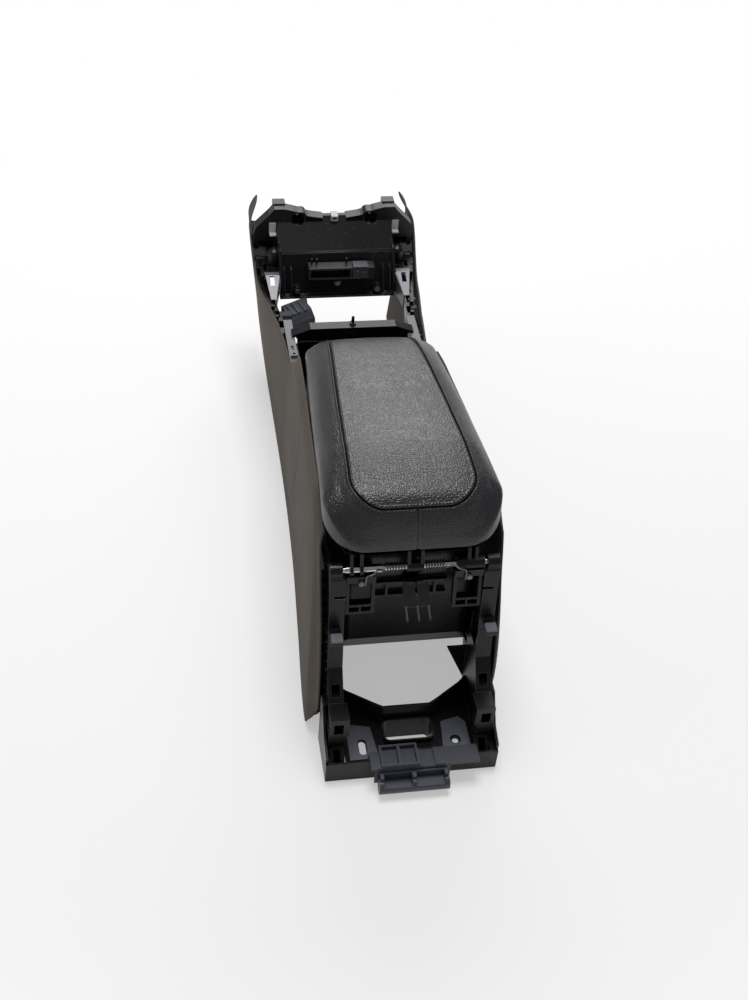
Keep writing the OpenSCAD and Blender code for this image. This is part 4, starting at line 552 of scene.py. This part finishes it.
under = []
for inset, up in ((1.2, -0.6), (4, -0.4), (7.9, 0.2), (8, 1.2)):
    ring = lid_ring(inset, inset, inset * 3)
    edge = lid_edge(lid_y + ring[:, 1] * np.cos(tilt)) - lid_plane(lid_y + ring[:, 1] * np.cos(tilt))
    under.append(np.stack([ring[:, 0], ring[:, 1], edge + up], -1))
last = under[-1]
roof_ring = np.stack([last[:, 0], last[:, 1], pad_roof(last[:, 0], last[:, 1]) - 0.5], -1)
under += [last + (roof_ring - last) * q for q in (0.33, 0.66, 1.0)]
under = np.array(under)

shell = np.concatenate([under[::-1], outer])
count = len(shell)
top_points, top_faces = patch(outer[-1], crown)
low_points, low_faces = patch(under[-1], pad_roof)
ring_faces = grid_faces(count, around, closed=True)
points = np.r_[shell.reshape(-1, 3), top_points, low_points]
top_start, low_start = count * around, count * around + len(top_points)
top_faces = np.where(top_faces < around, top_faces + (count - 1) * around, top_faces - around + top_start)
low_faces = np.where(low_faces < around, low_faces, low_faces - around + low_start)
faces = np.concatenate([ring_faces[:, ::-1], top_faces, low_faces[:, ::-1]])


def from_lid(p):
    """Points of the lid's own frame in the console's frame: turned by the lid's slope, then moved."""
    y, z = p[:, 1], p[:, 2]
    return np.stack([p[:, 0], lid_y + y * np.cos(tilt) + z * np.sin(tilt),
                     lid_z - y * np.sin(tilt) + z * np.cos(tilt)], -1)


# each point's side inset, which tells how far it is from the sewn channel; the channel
# fades out where its ring turns across the front
below_s, top_s = -10.0, 80.0
ring_s = np.r_[np.full(len(under), below_s), ring_at[0]]
seam_s, seam_f, seam_b = 33.6, 5.8, 17
point_s = np.r_[np.repeat(ring_s, around), np.full(len(top_points), top_s), np.full(len(low_points), below_s)]
share_round = lid_ring(seam_s, seam_f, seam_b)
ends_front = np.r_[np.tile(np.where(share_round[:, 3] > 0, share_round[:, 2], 1.0), count),
                   np.ones(len(points) - count * around)]
# the front edge is cut up over the latch lever, which needs room when it is pulled
notch_half, notch_l, notch_z, flatten, lowest = 20, 9, -0.6, 0.18, -5.6
notch = (np.abs(points[:, 0]) < notch_half) & (points[:, 1] > lid_end - notch_l) & (points[:, 2] < 0.5) & (point_s < 3)
points[notch, 2] = notch_z + flatten * (points[notch, 2] - lowest)

# Pigmented leather, embossed and waxed: a near black with a broad soft sheen that breaks up on the pebbles, and painted
# shade that darkens the creases between them.
leather = bpy.data.materials.new("pebbled charcoal leather")
leather.use_nodes = True
t = leather.node_tree
t.nodes.clear()
place = node(t, "ShaderNodeTexCoord").outputs["Object"]
warp = node(t, "ShaderNodeTexNoise", Vector=place, Scale=260.0, Detail=2.0)
bent = node(t, "ShaderNodeVectorMath", {"operation": "MULTIPLY_ADD"}, i0=warp.outputs["Color"],
            i1=(0.0012, 0.0012, 0.0012), i2=place)
# Pebbles of 3.3 mm, coarser than real ones so that the render shows them, with pores of
# 0.7 mm on them and a tone that drifts over 70 mm.
pebble = node(t, "ShaderNodeTexVoronoi", {"feature": "DISTANCE_TO_EDGE"}, Vector=bent.outputs[0], Scale=300.0,
              Randomness=0.9)
crease = node(t, "ShaderNodeMapRange", {"interpolation_type": "SMOOTHSTEP"}, Value=pebble.outputs["Distance"],
              i1=0.0, i2=0.32, i3=0.0, i4=1.0)
pore = node(t, "ShaderNodeTexNoise", Vector=place, Scale=1500.0, Detail=2.0)
relief = node(t, "ShaderNodeMath", {"operation": "MULTIPLY_ADD"}, i0=pore.outputs["Fac"], i1=0.1, i2=crease.outputs[0])
bump = node(t, "ShaderNodeBump", Strength=0.6, Distance=0.0004, Height=relief.outputs[0])
slow = node(t, "ShaderNodeTexNoise", Vector=place, Scale=14.0, Detail=3.0)
tone = node(t, "ShaderNodeMix", {"data_type": "RGBA"}, Factor=slow.outputs["Fac"])
tone.inputs["A"].default_value = linear("#1a191e")
tone.inputs["B"].default_value = linear("#232227")
dark = node(t, "ShaderNodeMix", {"data_type": "RGBA", "blend_type": "MULTIPLY"}, Factor=1.0)
t.links.new(tone.outputs["Result"], dark.inputs["A"])
# The colour is darkened down the creases between pebbles: painted shade.
crease_shade = node(t, "ShaderNodeMapRange", Value=crease.outputs[0], i1=0.0, i2=1.0, i3=0.62, i4=1.0)
t.links.new(crease_shade.outputs[0], dark.inputs["B"])
gloss = node(t, "ShaderNodeMapRange", Value=slow.outputs["Fac"], i1=0.3, i2=0.7, i3=0.31, i4=0.39)
hide = node(t, "ShaderNodeBsdfPrincipled", Base_Color=dark.outputs["Result"], Roughness=gloss.outputs[0],
            Specular_IOR_Level=0.62, Normal=bump.outputs[0])
node(t, "ShaderNodeOutputMaterial", Surface=hide.outputs[0])

pad = new_piece("leather_armrest_pad", from_lid(points), faces, "lid", leather)
held = pad.vertex_groups.new(name="sewn")
pinned = (point_s < 1.0) | (np.abs(point_s - seam_s) < 2.2)
held.add(np.flatnonzero(pinned).tolist(), 1.0, "REPLACE")


def puff(piece, group, cap):
    """Foam pressing into its cover: a short cloth run under pressure with the seams held,
    applied to the mesh with each point's move capped, in metres."""
    start = np.empty(len(piece.data.vertices) * 3)
    piece.data.vertices.foreach_get("co", start)
    cloth = piece.modifiers.new("foam", "CLOTH")
    cloth.settings.use_pressure = True
    cloth.settings.uniform_pressure_force = 4.0
    cloth.settings.effector_weights.gravity = 0.0
    cloth.settings.vertex_group_mass = group
    cloth.settings.tension_stiffness = 40.0
    cloth.settings.compression_stiffness = 40.0
    cloth.settings.bending_stiffness = 8.0
    for frame_number in range(1, 21):
        scene.frame_set(frame_number)
    shaped = piece.evaluated_get(bpy.context.evaluated_depsgraph_get())
    end = np.empty_like(start)
    shaped.data.vertices.foreach_get("co", end)
    piece.modifiers.remove(cloth)
    scene.frame_set(1)
    move = (end - start).reshape(-1, 3)
    far = np.linalg.norm(move, axis=1, keepdims=True)
    move *= np.minimum(1.0, cap / np.maximum(far, 1e-9))
    piece.data.vertices.foreach_set("co", (start.reshape(-1, 3) + move).ravel())
    piece.data.update()


puff(pad, "sewn", 0.003)

# The sewn channel is pressed in after the foam has filled the cover: a groove 3.4 mm deep
# with a bead on each side, and a shallower one down the middle of the rear.
co = np.empty(len(points) * 3)
pad.data.vertices.foreach_get("co", co)
co = co.reshape(-1, 3)
normals = np.empty(len(points) * 3)
pad.data.vertices.foreach_get("normal", normals)
normals = normals.reshape(-1, 3)
gap = point_s - seam_s
channel = (-0.0034 * np.exp(-(gap / 0.75) ** 2) + 0.0013 * np.exp(-((gap + 2.0) / 1.1) ** 2)
           + 0.0006 * np.exp(-((gap - 2.2) / 1.3) ** 2))
rear_seam = (points[:, 1] < -lid_end + 25) & (point_s < seam_s - 0.5) & (point_s > -5)
middle = -0.0024 * np.exp(-(points[:, 0] / 0.9) ** 2) * rear_seam
co += normals * (channel * ends_front + middle)[:, None]
pad.data.vertices.foreach_set("co", co.ravel())
pad.data.update()
fine = pad.modifiers.new("fine", "SUBSURF")
fine.levels = fine.render_levels = 1
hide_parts("lid_pad")

# Stitches: two rows of waxed polyester thread, one each side of the channel, each
# stitch a short rounded bar that dips into the leather at both ends.
# Wax gives the thread a faint sheen, so it shows against the leather.
thread = principled("waxed black thread", "#0d0d0f", 0.6, mottle=0.05, edge=0.0002, shine=0.3)
stitch_l, stitch_d, pitch = 2.9, 1.3, 4.3
cover = 1000 * co[:count * around].reshape(count, around, 3)
outward = normals[:count * around].reshape(count, around, 3)
keep = np.flatnonzero((share_round[:, 3] < 0) | (share_round[:, 2] > 0.5))
for row, offset in (("inner", 3.3), ("outer", -3.3)):
    j = int(np.argmin(np.abs(ring_s - seam_s - offset)))
    track, up = cover[j, keep], outward[j, keep]
    run = np.r_[0, np.cumsum(np.linalg.norm(np.diff(track, axis=0), axis=1))]
    at = np.arange(pitch / 2, run[-1] - pitch / 2, pitch)
    mid, tip = (np.stack([np.interp(at + d, run, track[:, c]) for c in range(3)], -1) for d in (0, 0.5))
    along = (tip - mid) / np.linalg.norm(tip - mid, axis=1, keepdims=True)
    out = np.stack([np.interp(at, run, up[:, c]) for c in range(3)], -1)
    out /= np.linalg.norm(out, axis=1, keepdims=True)
    wide = np.cross(along, out)
    share = np.array([-0.5, -0.32, 0.0, 0.32, 0.5])
    fat = np.array([0.45, 0.9, 1.0, 0.9, 0.45])[None, :, None, None] * stitch_d / 2
    lift_by = np.array([-0.6, -0.02, 0.18, -0.02, -0.6])[None, :, None, None]
    spin = np.linspace(0, 2 * np.pi, 6, endpoint=False)[None, None, :, None]
    bars = (mid[:, None, None] + along[:, None, None] * (share * stitch_l)[None, :, None, None]
            + out[:, None, None] * (lift_by + np.cos(spin) * fat) + wide[:, None, None] * np.sin(spin) * fat)
    one = grid_faces(5, 6, closed=True).tolist() + [[5, 4, 3, 2, 1, 0], [24, 25, 26, 27, 28, 29]]
    faces = [[v + 30 * n for v in face] for n in range(len(mid)) for face in one]
    new_piece(f"stitches_{row}", bars.reshape(-1, 3), faces, "lid", thread)

# Lining tray under the lid: a moulded tray sprayed with short nylon flock and screwed
# to the core. The flock is a deep black without any shine.
flock = principled("black nylon flock", "#17171a", 0.95, grain=0.0012, mottle=0.15)
dress(flock, "lid_inner_cover")
